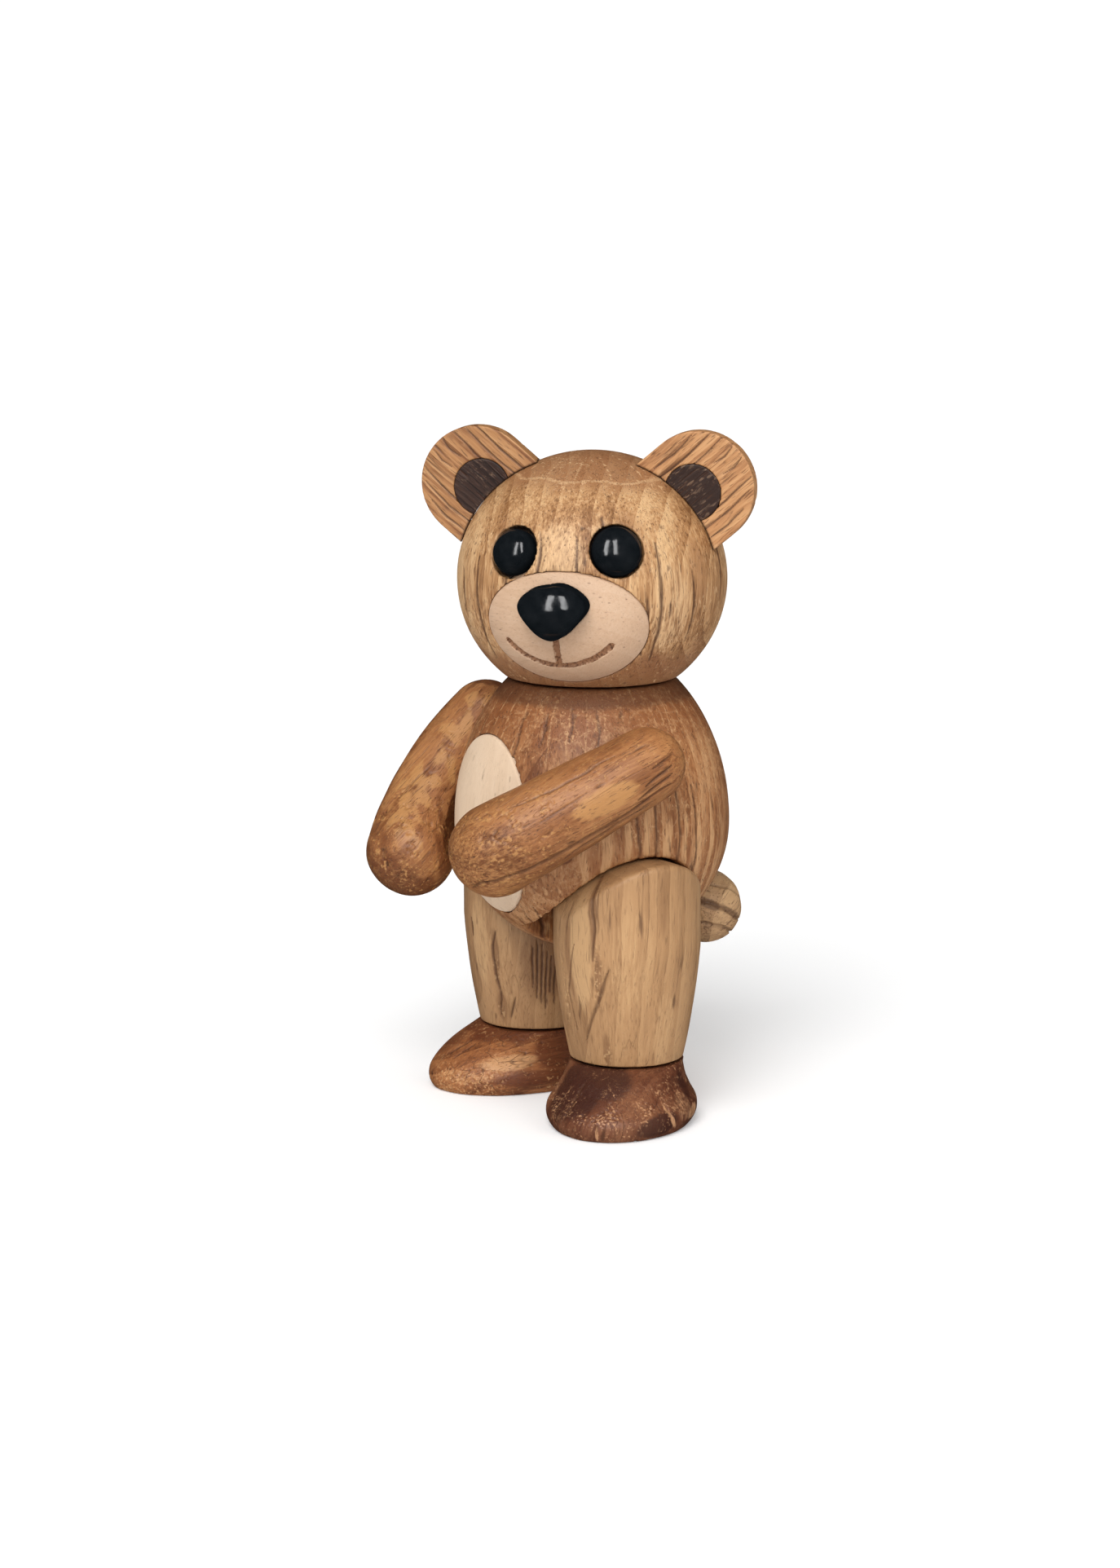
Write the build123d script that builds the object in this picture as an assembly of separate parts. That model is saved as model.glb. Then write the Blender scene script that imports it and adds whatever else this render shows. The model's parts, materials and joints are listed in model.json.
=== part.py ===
from build123d import *
import math
import os

# Jointed wooden bear: turned and shaped pieces on hidden dowels, one STEP file per piece.
# Millimetres, +Z up. The bear looks towards -Y and its left side is +X. The pieces are made
# about the body's turning axis, then the whole figure is centred over the origin, soles at Z = 0.

# ---------------------------------------------------------------- heights, from the floor up
FOOT_HEIGHT = 10.6
LEG_LENGTH_TO_HIP = 22.8
BODY_MIDDLE_ABOVE_HIP = 16.3
NECK_ABOVE_BODY_MIDDLE = 25.6
HEAD_MIDDLE_ABOVE_NECK = 17.2

# ---------------------------------------------------------------- clearances
SEAM_GAP = 0.3
END_FLOAT = 0.05
RUNNING_CLEARANCE = 0.05
RECESS_CLEARANCE = 0.4
TIP_CLEARANCE = 0.5

# ---------------------------------------------------------------- body
BODY_RADIUS = 24.35
BODY_UPPER_HALF = 32.0
BODY_LOWER_HALF = 23.0
NECK_EDGE_ROUND = 0.6
WEB_THICKNESS = 6.4

BELLY_INLAY_HALF_WIDTH = 12.7
BELLY_INLAY_HALF_HEIGHT = 15.8
BELLY_INLAY_RISE = 1.1
BELLY_INLAY_THICKNESS = 7.8

TAIL_RADIUS = 6.8
TAIL_DROOP = 37.7
TAIL_SUNK = 0.9
TAIL_DOWEL_RADIUS = 1.5
TAIL_DOWEL_IN_BODY = 7.0
TAIL_DOWEL_IN_TAIL = 6.0

# ---------------------------------------------------------------- head
HEAD_RADIUS = 23.75
HEAD_HALF_HEIGHT = 22.4
HEAD_TURN = 46.7

MUZZLE_HALF_WIDTH = 14.1
MUZZLE_HALF_HEIGHT = 10.5
MUZZLE_DROP = 6.9
MUZZLE_PROUD = 1.6
MUZZLE_DOME_DEPTH = 12.0
MUZZLE_SEAT_DEPTH = 6.5

MOUTH_OFFSET = -0.8
MOUTH_HALF_WIDTH = 9.2
MOUTH_CORNER_DROP = 1.9
MOUTH_BOTTOM_DROP = 5.7
MOUTH_LINE_WIDTH = 1.0
MOUTH_LINE_DEPTH = 0.45

NOSE_OFFSET = -0.9
NOSE_HALF_WIDTH = 6.0
NOSE_RISE = 3.5
NOSE_POINT_DROP = 5.9
NOSE_ABOVE_MUZZLE_MIDDLE = 5.5
NOSE_SEAT_BEYOND_HEAD = 0.6
NOSE_THICKNESS = 6.9
NOSE_DOME_HEIGHT = 4.8
NOSE_DOME_MARGIN = 0.9
NOSE_EDGE_ROUND = 1.0

EYE_RADIUS_LEFT = 4.3
EYE_RADIUS_RIGHT = 3.95
EYE_SPREAD_LEFT = 24.0
EYE_SPREAD_RIGHT = 24.6
EYE_RISE_LEFT = 7.65
EYE_RISE_RIGHT = 7.0
EYE_DOME_HEIGHT = 2.7
EYE_SOCKET_DEPTH = 1.9
EYE_SOCKET_CLEARANCE = 0.35
EYE_STEM_RADIUS = 1.5
EYE_STEM_LENGTH = 5.0
EYE_SKIRT = 1.5

EAR_RADIUS = 10.0
EAR_THICKNESS = 3.2
EAR_FRONT = 4.6
EAR_ANGLE = 40.3
EAR_DISTANCE = 25.8
EAR_INLAY_RADIUS = 5.0
EAR_INLAY_DEPTH = 1.0
EAR_INLAY_SHIFT = 1.2
EAR_DOWEL_RADIUS = 0.8
EAR_DOWEL_IN_HEAD = 6.0
EAR_DOWEL_IN_EAR = 4.0

# ---------------------------------------------------------------- arms
SHOULDER_AZIMUTH = 14.3
SHOULDER_TILT = 17.2
SHOULDER_HEIGHT_ABOVE_BODY_MIDDLE = 11.9
SHOULDER_SPOT_FACE_DEPTH = 0.45
ARM_SPOT_FACE_GAP = 1.35
ARM_SPOT_FACE_TO_CENTRE = 5.6
SPOT_FACE_MARGIN = 0.3
ARM_RELIEF_BEYOND_BODY = 11.65
ARM_BEND_RADIUS = 50.0
ARM_BEND_ANGLE = 32.4
ARM_BACK_ANGLE = 1.8
ARM_SHOULDER_RADIUS = 6.8
ARM_HAND_RADIUS = 8.25
ARM_RAISED_LEFT = 64.5
ARM_RAISED_RIGHT = 43.5

# ---------------------------------------------------------------- legs and feet
HIP_SPACING = 32.4
HIP_FORWARD = 2.4
LEG_RADIUS = 12.9
LEG_ANKLE_RADIUS = 9.95
LEG_BULGE = 0.38
LEG_STRAIGHT_BELOW_HIP = 3.0
LEG_CROWN_RADIUS = 13.2
LEG_CROWN_ROUND = 1.2

FOOT_RIM_RADIUS = 10.2
SOLE_HALF_LENGTH = 16.4
SOLE_HALF_WIDTH = 11.9
FOOT_HALF_LENGTH = 17.3
FOOT_HALF_WIDTH = 13.0
FOOT_WIDEST_HEIGHT = 2.2
INSTEP_HALF_LENGTH = 14.8
INSTEP_HALF_WIDTH = 11.6
INSTEP_HEIGHT = 7.0
TOE_OFFSET = 3.7
INSTEP_OFFSET = 2.6
FOOT_TURN_LEFT = 46.5
FOOT_TURN_RIGHT = -3.0

# ---------------------------------------------------------------- dowels and their bushes
NECK_DOWEL_RADIUS = 4.0
NECK_DOWEL_IN_HEAD = 14.0
NECK_BUSH_LENGTH = 12.0
SHOULDER_DOWEL_RADIUS = 2.0
SHOULDER_DOWEL_IN_BODY = 10.0
SHOULDER_BUSH_LENGTH = 7.5
HIP_AXLE_RADIUS = 3.0
HIP_BUSH_LENGTH = 12.0
ANKLE_DOWEL_RADIUS = 2.5
ANKLE_DOWEL_IN_LEG = 10.0
ANKLE_BUSH_LENGTH = 6.5
BUSH_WALL = 1.2
BUSH_FLANGE_WIDTH = 1.2
BUSH_FLANGE_SINK = 0.8
GROOVE_DEPTH = 0.5
GROOVE_WIDTH = 1.2
GROOVE_FROM_TIP = 1.4

# ---------------------------------------------------------------- places worked out from the sizes
ankle_z = FOOT_HEIGHT + SEAM_GAP
hip_z = ankle_z + LEG_LENGTH_TO_HIP
body_middle_z = hip_z + BODY_MIDDLE_ABOVE_HIP
neck_z = body_middle_z + NECK_ABOVE_BODY_MIDDLE
head_base_z = neck_z + SEAM_GAP
head_middle_z = head_base_z + HEAD_MIDDLE_ABOVE_NECK
hip_x = HIP_SPACING / 2
web_half = WEB_THICKNESS / 2
SIDES = {"left": 1, "right": -1}


def slice_radius(radius, half_height, height):
    """Radius of an egg at a height above or below its widest circle."""
    return radius * math.sqrt(1 - (height / half_height) ** 2)


def surface_tilt(radius, half_height, height):
    """Angle in degrees by which an egg's surface looks up at a height above its widest circle."""
    across = slice_radius(radius, half_height, height)
    return math.degrees(math.atan2(height / half_height**2, across / radius**2))


def direction(azimuth, tilt):
    """Unit vector at an angle from straight ahead (-Y) towards +X, tilted up from level."""
    turn, rise = math.radians(azimuth), math.radians(tilt)
    return Vector(math.sin(turn) * math.cos(rise), -math.cos(turn) * math.cos(rise), math.sin(rise))


def half_egg(radius, height, keep):
    """The upper or lower half of an egg, cut through its widest circle at Z = 0."""
    return scale(split(Sphere(1), bisect_by=Plane.XY, keep=keep), by=(radius, radius, height))


def turned_egg(radius, upper, lower):
    """An egg turned about Z with its widest circle at Z = 0."""
    return half_egg(radius, upper, Keep.TOP) + half_egg(radius, lower, Keep.BOTTOM)


def rod(radius, low, high):
    """A cylinder about Z between two heights."""
    return Pos(0, 0, (low + high) / 2) * Cylinder(radius, high - low)


def mirrored(piece):
    """The other side's copy of a piece."""
    return mirror(piece, about=Plane.YZ)


class Pivot:
    """A dowel glued in one piece that turns in a flanged bush pressed into another piece.

    Its own frame has the axis on Z. The glued piece ends at Z = 0 and the piece with the bush
    starts at Z = gap. A rib in the bush snaps into a groove of the dowel and holds them together.
    """

    def __init__(self, radius, glued, grip, gap=SEAM_GAP):
        self.radius = radius
        self.glued = glued
        self.gap = gap
        self.bush_end = gap + grip
        self.tip = self.bush_end - END_FLOAT
        self.bush_radius = radius + RUNNING_CLEARANCE + BUSH_WALL
        self.flange_radius = self.bush_radius + BUSH_FLANGE_WIDTH
        self.groove_high = self.tip - GROOVE_FROM_TIP
        self.groove_low = self.groove_high - GROOVE_WIDTH

    def dowel(self):
        """The dowel with the groove near its tip."""
        groove = rod(self.radius + 1, self.groove_low, self.groove_high)
        groove -= rod(self.radius - GROOVE_DEPTH, self.groove_low, self.groove_high)
        return rod(self.radius, -self.glued, self.tip) - groove

    def bush(self):
        """The bush, its flange standing proud of its piece to carry the other one."""
        inner = self.radius + RUNNING_CLEARANCE
        shape = rod(self.bush_radius, END_FLOAT, self.bush_end)
        shape += rod(self.flange_radius, END_FLOAT, self.gap + BUSH_FLANGE_SINK)
        shape -= rod(inner, END_FLOAT, self.bush_end)
        rib_low = self.groove_low + RUNNING_CLEARANCE
        rib_high = self.groove_high - RUNNING_CLEARANCE
        rib = rod(inner, rib_low, rib_high)
        rib -= rod(self.radius - GROOVE_DEPTH + RUNNING_CLEARANCE, rib_low, rib_high)
        return shape + rib

    def bush_bore(self):
        """What the bush's piece loses: the bush, its flange and room past the dowel's tip."""
        bore = rod(self.bush_radius, self.gap - 1, self.bush_end)
        bore += rod(self.flange_radius, self.gap - 1, self.gap + BUSH_FLANGE_SINK)
        return bore + rod(self.radius, self.gap, self.bush_end + TIP_CLEARANCE)

    def dowel_bore(self):
        """What the glued piece loses."""
        return rod(self.radius, -self.glued, 1)


neck_pivot = Pivot(NECK_DOWEL_RADIUS, NECK_DOWEL_IN_HEAD, NECK_BUSH_LENGTH)
shoulder_pivot = Pivot(SHOULDER_DOWEL_RADIUS, SHOULDER_DOWEL_IN_BODY, SHOULDER_BUSH_LENGTH,
                       ARM_SPOT_FACE_GAP)
hip_pivot = Pivot(HIP_AXLE_RADIUS, web_half, HIP_BUSH_LENGTH)
ankle_pivot = Pivot(ANKLE_DOWEL_RADIUS, ANKLE_DOWEL_IN_LEG, ANKLE_BUSH_LENGTH)

# ---------------------------------------------------------------- frames of the pivots
# Each frame's Z runs from the piece with the glued dowel into the piece with the bush.
neck_frame = Plane(origin=(0, 0, head_base_z), x_dir=(1, 0, 0), z_dir=(0, 0, -1))

shoulder_radius = slice_radius(BODY_RADIUS, BODY_UPPER_HALF, SHOULDER_HEIGHT_ABOVE_BODY_MIDDLE)
shoulder_out = direction(90 - SHOULDER_AZIMUTH, SHOULDER_TILT)
shoulder_side = direction(90 - SHOULDER_AZIMUTH, 0)
shoulder_skin = shoulder_side * shoulder_radius + Vector(
    0, 0, body_middle_z + SHOULDER_HEIGHT_ABOVE_BODY_MIDDLE)
shoulder_seat = shoulder_skin - shoulder_out * SHOULDER_SPOT_FACE_DEPTH
shoulder_down = direction(90 - SHOULDER_AZIMUTH, SHOULDER_TILT - 90)
shoulder_ahead = shoulder_down.cross(shoulder_out)
arm_centre_height = ARM_SPOT_FACE_GAP + ARM_SPOT_FACE_TO_CENTRE


def shoulder_frame(raised):
    """Frame of the left shoulder, X along the arm when it is raised by an angle from hanging."""
    angle = math.radians(raised)
    along = shoulder_down * math.cos(angle) + shoulder_ahead * math.sin(angle)
    return Plane(origin=shoulder_seat, x_dir=along, z_dir=shoulder_out)


hip_frame = Plane(origin=(web_half, -HIP_FORWARD, hip_z), x_dir=(0, 1, 0), z_dir=(1, 0, 0))
ankle_frame = Plane(origin=(hip_x, -HIP_FORWARD, ankle_z), x_dir=(1, 0, 0), z_dir=(0, 0, -1))


# ---------------------------------------------------------------- body and what is glued in it
def egg_body():
    """The turned body before anything is cut, flat at the neck."""
    egg = Pos(0, 0, body_middle_z) * turned_egg(BODY_RADIUS, BODY_UPPER_HALF, BODY_LOWER_HALF)
    egg = split(egg, bisect_by=Plane.XY.offset(neck_z), keep=Keep.BOTTOM)
    return fillet(egg.edges().sort_by(Axis.Z)[-1], NECK_EDGE_ROUND)


def leg_outline(crown_radius, depth):
    """A leg's side view about the hip axis: a round crown, open downwards for a depth."""
    shape = Circle(crown_radius) + Pos(0, -depth / 2) * Rectangle(2 * crown_radius, depth)
    return Plane.YZ * shape


def leg_recess():
    """What the left leg's crown needs out of the body."""
    room = leg_outline(LEG_CROWN_RADIUS + RECESS_CLEARANCE, hip_z)
    return Pos(web_half, -HIP_FORWARD, hip_z) * extrude(room, BODY_RADIUS)


def belly_prism():
    """The oval column that the belly inlay is cut from."""
    floor_y = -(BODY_RADIUS - BELLY_INLAY_THICKNESS)
    front = Plane(origin=(0, floor_y, body_middle_z + BELLY_INLAY_RISE), x_dir=(1, 0, 0),
                  z_dir=(0, -1, 0))
    return extrude(front * Ellipse(BELLY_INLAY_HALF_WIDTH, BELLY_INLAY_HALF_HEIGHT),
                   2 * BELLY_INLAY_THICKNESS)


tail_out = direction(180, -TAIL_DROOP)
tail_slope = math.radians(TAIL_DROOP)
tail_skin = 1 / math.hypot(math.cos(tail_slope) / BODY_RADIUS, math.sin(tail_slope) / BODY_LOWER_HALF)
tail_frame = Plane(origin=Vector(0, 0, body_middle_z) + tail_out * tail_skin, x_dir=(1, 0, 0),
                   z_dir=tail_out)


def tail_ball(egg):
    """The tail, hollowed where it sits on the body and bored for its dowel."""
    ball = tail_frame * (Pos(0, 0, TAIL_RADIUS - TAIL_SUNK) * Sphere(TAIL_RADIUS))
    return ball - egg - tail_frame * rod(TAIL_DOWEL_RADIUS, -TAIL_DOWEL_IN_BODY, TAIL_DOWEL_IN_TAIL)


def shoulder_spot_face():
    """The flat that the arm's bush bears on, cut square to the left shoulder dowel."""
    return shoulder_frame(0) * rod(shoulder_pivot.flange_radius + SPOT_FACE_MARGIN, 0, BODY_RADIUS)


def body_group():
    """The body, its inlay, the tail and the dowels glued in the body."""
    egg = egg_body()
    prism = belly_prism()
    spot_face = shoulder_spot_face()
    dowel_bore = shoulder_frame(0) * shoulder_pivot.dowel_bore()
    tail_dowel = tail_frame * rod(TAIL_DOWEL_RADIUS, -TAIL_DOWEL_IN_BODY, TAIL_DOWEL_IN_TAIL)
    half_axle = hip_frame * hip_pivot.dowel()
    recess = leg_recess()

    body = egg - prism - tail_dowel
    body -= neck_frame * neck_pivot.bush_bore()
    body -= rod(HIP_AXLE_RADIUS, -web_half, web_half).moved(
        Location(Plane(origin=(0, -HIP_FORWARD, hip_z), z_dir=(1, 0, 0))))
    for cut in (recess, spot_face, dowel_bore):
        body -= cut
        body -= mirrored(cut)
    shoulder_dowel = shoulder_frame(0) * shoulder_pivot.dowel()
    return {
        "body": body,
        "belly_inlay": prism & egg,
        "tail": tail_ball(egg),
        "tail_dowel": tail_dowel,
        "neck_bush": neck_frame * neck_pivot.bush(),
        "hip_axle": half_axle + mirrored(half_axle),
        "shoulder_dowel_left": shoulder_dowel,
        "shoulder_dowel_right": mirrored(shoulder_dowel),
    }


# ---------------------------------------------------------------- head, made looking towards -Y
def head_egg():
    """The whole turned head before it is cut at the neck."""
    return Pos(0, 0, head_middle_z) * turned_egg(HEAD_RADIUS, HEAD_HALF_HEIGHT, HEAD_HALF_HEIGHT)


muzzle_tilt = surface_tilt(HEAD_RADIUS, HEAD_HALF_HEIGHT, -MUZZLE_DROP)
muzzle_reach = slice_radius(HEAD_RADIUS, HEAD_HALF_HEIGHT, -MUZZLE_DROP)
muzzle_frame = Plane(origin=(0, -muzzle_reach, head_middle_z - MUZZLE_DROP), x_dir=(1, 0, 0),
                     z_dir=direction(0, muzzle_tilt))


def muzzle_dome(shrink=0.0):
    """The muzzle's bulge, level with the head all round the oval's rim."""
    across = muzzle_reach / math.cos(math.radians(muzzle_tilt))
    bend = math.hypot(muzzle_reach / HEAD_RADIUS**2, MUZZLE_DROP / HEAD_HALF_HEIGHT**2)
    upright = (HEAD_RADIUS * HEAD_HALF_HEIGHT) ** 2 * bend**3
    fall_across = across - math.sqrt(across**2 - MUZZLE_HALF_WIDTH**2)
    fall_upright = upright - math.sqrt(upright**2 - MUZZLE_HALF_HEIGHT**2)

    def half_axis(half, fall):
        level = 1 - (fall + MUZZLE_PROUD) / MUZZLE_DOME_DEPTH
        return half / math.sqrt(1 - level**2) - shrink

    sizes = (half_axis(MUZZLE_HALF_WIDTH, fall_across), half_axis(MUZZLE_HALF_HEIGHT, fall_upright),
             MUZZLE_DOME_DEPTH - shrink)
    return Pos(0, 0, MUZZLE_PROUD - MUZZLE_DOME_DEPTH) * scale(Sphere(1), by=sizes)


def mouth_lines():
    """The burnt-in smile and the short line that joins it to the nose."""
    smile = ThreePointArc((MOUTH_OFFSET - MOUTH_HALF_WIDTH, -MOUTH_CORNER_DROP),
                          (MOUTH_OFFSET, -MOUTH_BOTTOM_DROP),
                          (MOUTH_OFFSET + MOUTH_HALF_WIDTH, -MOUTH_CORNER_DROP))
    lines = trace(smile, line_width=MOUTH_LINE_WIDTH)
    philtrum = Rectangle(MOUTH_LINE_WIDTH, MOUTH_BOTTOM_DROP)
    philtrum = Pos(NOSE_OFFSET, -MOUTH_BOTTOM_DROP / 2) * philtrum
    return extrude(lines + philtrum, MUZZLE_DOME_DEPTH, both=True)


def nose_outline():
    """The nose's rounded triangle, wide above and narrow below."""
    right = [(0.66 * NOSE_HALF_WIDTH, 0.72 * NOSE_RISE), (NOSE_HALF_WIDTH, 0),
             (0.7 * NOSE_HALF_WIDTH, -0.5 * NOSE_POINT_DROP),
             (0.24 * NOSE_HALF_WIDTH, -0.93 * NOSE_POINT_DROP)]
    left = [(-x, y) for x, y in reversed(right)]
    return make_face(Spline((0, NOSE_RISE), *right, (0, -NOSE_POINT_DROP), *left, periodic=True))


nose_frame = Plane(
    origin=(NOSE_OFFSET, -muzzle_reach - NOSE_SEAT_BEYOND_HEAD,
            head_middle_z - MUZZLE_DROP + NOSE_ABOVE_MUZZLE_MIDDLE),
    x_dir=(1, 0, 0), z_dir=(0, -1, 0))


def nose_seat():
    """The straight column that the nose is shaped from and that its seat is cut with."""
    return extrude(nose_frame * nose_outline(), NOSE_THICKNESS)


def nose_bead():
    """The nose, its front domed and its edge rounded."""
    middle = (NOSE_RISE - NOSE_POINT_DROP) / 2
    sizes = (NOSE_HALF_WIDTH + NOSE_DOME_MARGIN,
             (NOSE_RISE + NOSE_POINT_DROP) / 2 + NOSE_DOME_MARGIN, NOSE_DOME_HEIGHT)
    dome = Pos(0, middle, NOSE_THICKNESS - NOSE_DOME_HEIGHT) * scale(Sphere(1), by=sizes)
    below = Pos(0, middle, (NOSE_THICKNESS - NOSE_DOME_HEIGHT) / 2) * Box(
        2 * sizes[0], 2 * sizes[1], NOSE_THICKNESS - NOSE_DOME_HEIGHT)
    bead = nose_seat() & (nose_frame * (dome + below))
    rim = bead.faces().sort_by(Axis.Y)[0].edges()
    return fillet(rim, NOSE_EDGE_ROUND)


def eye_frame(spread, rise):
    """The plane that touches the head where an eye sits, Z outward."""
    reach = slice_radius(HEAD_RADIUS, HEAD_HALF_HEIGHT, rise)
    tilt = surface_tilt(HEAD_RADIUS, HEAD_HALF_HEIGHT, rise)
    return Plane(origin=direction(spread, 0) * reach + Vector(0, 0, head_middle_z + rise),
                 z_dir=direction(spread, tilt))


def eye(radius):
    """A black bead with a domed front, a short skirt in the socket and a glued stem."""
    skirt_top = EYE_SKIRT - EYE_SOCKET_DEPTH
    bead = Pos(0, 0, skirt_top) * half_egg(radius, EYE_DOME_HEIGHT, Keep.TOP)
    bead += rod(radius, -EYE_SOCKET_DEPTH, skirt_top)
    return bead + rod(EYE_STEM_RADIUS, -EYE_STEM_LENGTH, -EYE_SOCKET_DEPTH)


def eye_socket():
    """What an eye needs out of the head: one drill, the larger bead's, makes both sockets."""
    widest = max(EYE_RADIUS_LEFT, EYE_RADIUS_RIGHT)
    hole = rod(widest + EYE_SOCKET_CLEARANCE, -EYE_SOCKET_DEPTH, widest)
    return hole + rod(EYE_STEM_RADIUS, -EYE_STEM_LENGTH, -EYE_SOCKET_DEPTH)


ear_slope = math.radians(EAR_ANGLE)
ear_frame = Plane(origin=(0, -EAR_FRONT, head_middle_z),
                  x_dir=(math.cos(ear_slope), 0, math.sin(ear_slope)), z_dir=(0, -1, 0))
ear_skin = 1 / math.hypot(math.cos(ear_slope) / HEAD_RADIUS, math.sin(ear_slope) / HEAD_HALF_HEIGHT)


def ear_plate():
    """The left ear's plate: a round end and straight sides that run down to the head."""
    side = EAR_RADIUS
    outline = Pos(EAR_DISTANCE, 0) * Circle(EAR_RADIUS)
    outline += Pos(EAR_DISTANCE - side / 2, 0) * Rectangle(side, 2 * EAR_RADIUS)
    return ear_frame * extrude(outline, -EAR_THICKNESS)


def ear_inlay_disc():
    """The left ear's inlay before the head's curve is taken off."""
    disc = Pos(EAR_DISTANCE - EAR_INLAY_SHIFT, 0) * Circle(EAR_INLAY_RADIUS)
    return ear_frame * extrude(disc, -EAR_INLAY_DEPTH)


def ear_dowel():
    """The left ear's hidden peg, midway between the inlay and the back of the plate."""
    depth = (EAR_INLAY_DEPTH + EAR_THICKNESS) / 2
    peg = Rot(0, 90, 0) * rod(EAR_DOWEL_RADIUS, ear_skin - EAR_DOWEL_IN_HEAD,
                              ear_skin + EAR_DOWEL_IN_EAR)
    return ear_frame * (Pos(0, 0, -depth) * peg)


def head_group():
    """The head, its face, ears and the neck dowel, turned to the side it looks at."""
    egg = head_egg()
    oval = Ellipse(MUZZLE_HALF_WIDTH, MUZZLE_HALF_HEIGHT)
    column = muzzle_frame.offset(-MUZZLE_SEAT_DEPTH) * oval
    column = extrude(column, 2 * MUZZLE_SEAT_DEPTH)
    nose_room = nose_seat()
    mouth = mouth_lines() - muzzle_dome(MOUTH_LINE_DEPTH)
    muzzle = column & (muzzle_frame * muzzle_dome())
    muzzle = muzzle - muzzle_frame * mouth - nose_room

    head = split(egg, bisect_by=Plane.XY.offset(head_base_z), keep=Keep.TOP)
    head = fillet(head.edges().sort_by(Axis.Z)[0], NECK_EDGE_ROUND)
    head = head - column - nose_room - neck_frame * neck_pivot.dowel_bore()
    left_eye = eye_frame(EYE_SPREAD_LEFT, EYE_RISE_LEFT)
    right_eye = eye_frame(-EYE_SPREAD_RIGHT, EYE_RISE_RIGHT)
    sockets = left_eye * eye_socket() + right_eye * eye_socket()
    muzzle -= sockets
    peg = ear_dowel()
    inlay = ear_inlay_disc()
    ear = ear_plate() - egg - inlay - peg
    inlay = inlay - egg
    head = head - sockets - peg - mirrored(peg)
    pieces = {
        "head": head,
        "muzzle": muzzle,
        "nose": nose_bead(),
        "neck_dowel": neck_frame * neck_pivot.dowel(),
        "eye_left": left_eye * eye(EYE_RADIUS_LEFT),
        "eye_right": right_eye * eye(EYE_RADIUS_RIGHT),
        "ear_left": ear,
        "ear_inlay_left": inlay,
        "ear_dowel_left": peg,
    }
    for name in ("ear", "ear_inlay", "ear_dowel"):
        pieces[name + "_right"] = mirrored(pieces[name + "_left"])
    return {name: Rot(0, 0, HEAD_TURN) * piece for name, piece in pieces.items()}


# ---------------------------------------------------------------- arms
def arm_blank():
    """A banana-shaped arm along X that bends towards the body, its pivot on Z."""
    def on_bend(angle):
        turn = math.radians(angle)
        return Plane(origin=(ARM_BEND_RADIUS * math.sin(turn), 0,
                             arm_centre_height - ARM_BEND_RADIUS * (1 - math.cos(turn))),
                     x_dir=(0, 1, 0), z_dir=(math.cos(turn), 0, -math.sin(turn)))

    first, last = on_bend(-ARM_BACK_ANGLE), on_bend(ARM_BEND_ANGLE)
    middle = on_bend((ARM_BEND_ANGLE - ARM_BACK_ANGLE) / 2)
    bend = ThreePointArc(first.origin, middle.origin, last.origin)
    sections = [first * Circle(ARM_SHOULDER_RADIUS), last * Circle(ARM_HAND_RADIUS)]
    blank = sweep(sections, path=bend, multisection=True)
    shoulder = split(first * Sphere(ARM_SHOULDER_RADIUS), bisect_by=first, keep=Keep.BOTTOM)
    hand = split(last * Sphere(ARM_HAND_RADIUS), bisect_by=last, keep=Keep.TOP)
    return blank + shoulder + hand


def arm_group(side, raised):
    """One arm and its bush."""
    spot_face_radius = shoulder_pivot.flange_radius + SPOT_FACE_MARGIN
    spot_face = rod(spot_face_radius, -arm_centre_height, ARM_SPOT_FACE_GAP)
    relief_top = SHOULDER_SPOT_FACE_DEPTH + SEAM_GAP
    relief_radius = BODY_RADIUS + ARM_RELIEF_BEYOND_BODY
    relief = Pos(0, 0, relief_top - relief_radius) * Sphere(relief_radius)
    arm = arm_blank() - relief - spot_face - shoulder_pivot.bush_bore()
    frame = shoulder_frame(raised)
    pieces = {"arm_" + side: frame * arm, "shoulder_bush_" + side: frame * shoulder_pivot.bush()}
    if SIDES[side] < 0:
        pieces = {name: mirrored(piece) for name, piece in pieces.items()}
    return pieces


# ---------------------------------------------------------------- legs and feet
def turned_leg():
    """The leg as turned about its own upright axis, before the crown is shaped."""
    straight_z = hip_z - LEG_STRAIGHT_BELOW_HIP
    top_z = hip_z + LEG_CROWN_RADIUS
    middle = ((LEG_RADIUS + LEG_ANKLE_RADIUS) / 2 + LEG_BULGE, (ankle_z + straight_z) / 2)
    shank = ThreePointArc((LEG_ANKLE_RADIUS, ankle_z), middle, (LEG_RADIUS, straight_z))
    rest = Polyline(shank @ 1, (LEG_RADIUS, top_z), (0, top_z), (0, ankle_z), shank @ 0)
    return revolve(Plane.XZ * make_face(shank + rest), Axis.Z)


def leg_group(side):
    """One leg with its hip bush and ankle dowel."""
    crown = extrude(leg_outline(LEG_CROWN_RADIUS, hip_z), LEG_RADIUS, both=True)
    leg = turned_leg() & (Pos(0, 0, hip_z) * crown)
    ridge = leg.edges().filter_by(lambda edge: edge.center().Z > hip_z + LEG_CROWN_ROUND)
    leg = Pos(hip_x, -HIP_FORWARD, 0) * fillet(ridge, LEG_CROWN_ROUND)
    leg = split(leg, bisect_by=Plane.YZ.offset(web_half + SEAM_GAP), keep=Keep.TOP)
    leg -= hip_frame * hip_pivot.bush_bore()
    leg -= ankle_frame * ankle_pivot.dowel_bore()
    pieces = {
        "leg_" + side: leg,
        "hip_bush_" + side: hip_frame * hip_pivot.bush(),
        "ankle_dowel_" + side: ankle_frame * ankle_pivot.dowel(),
    }
    if SIDES[side] < 0:
        pieces = {name: mirrored(piece) for name, piece in pieces.items()}
    return pieces


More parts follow.
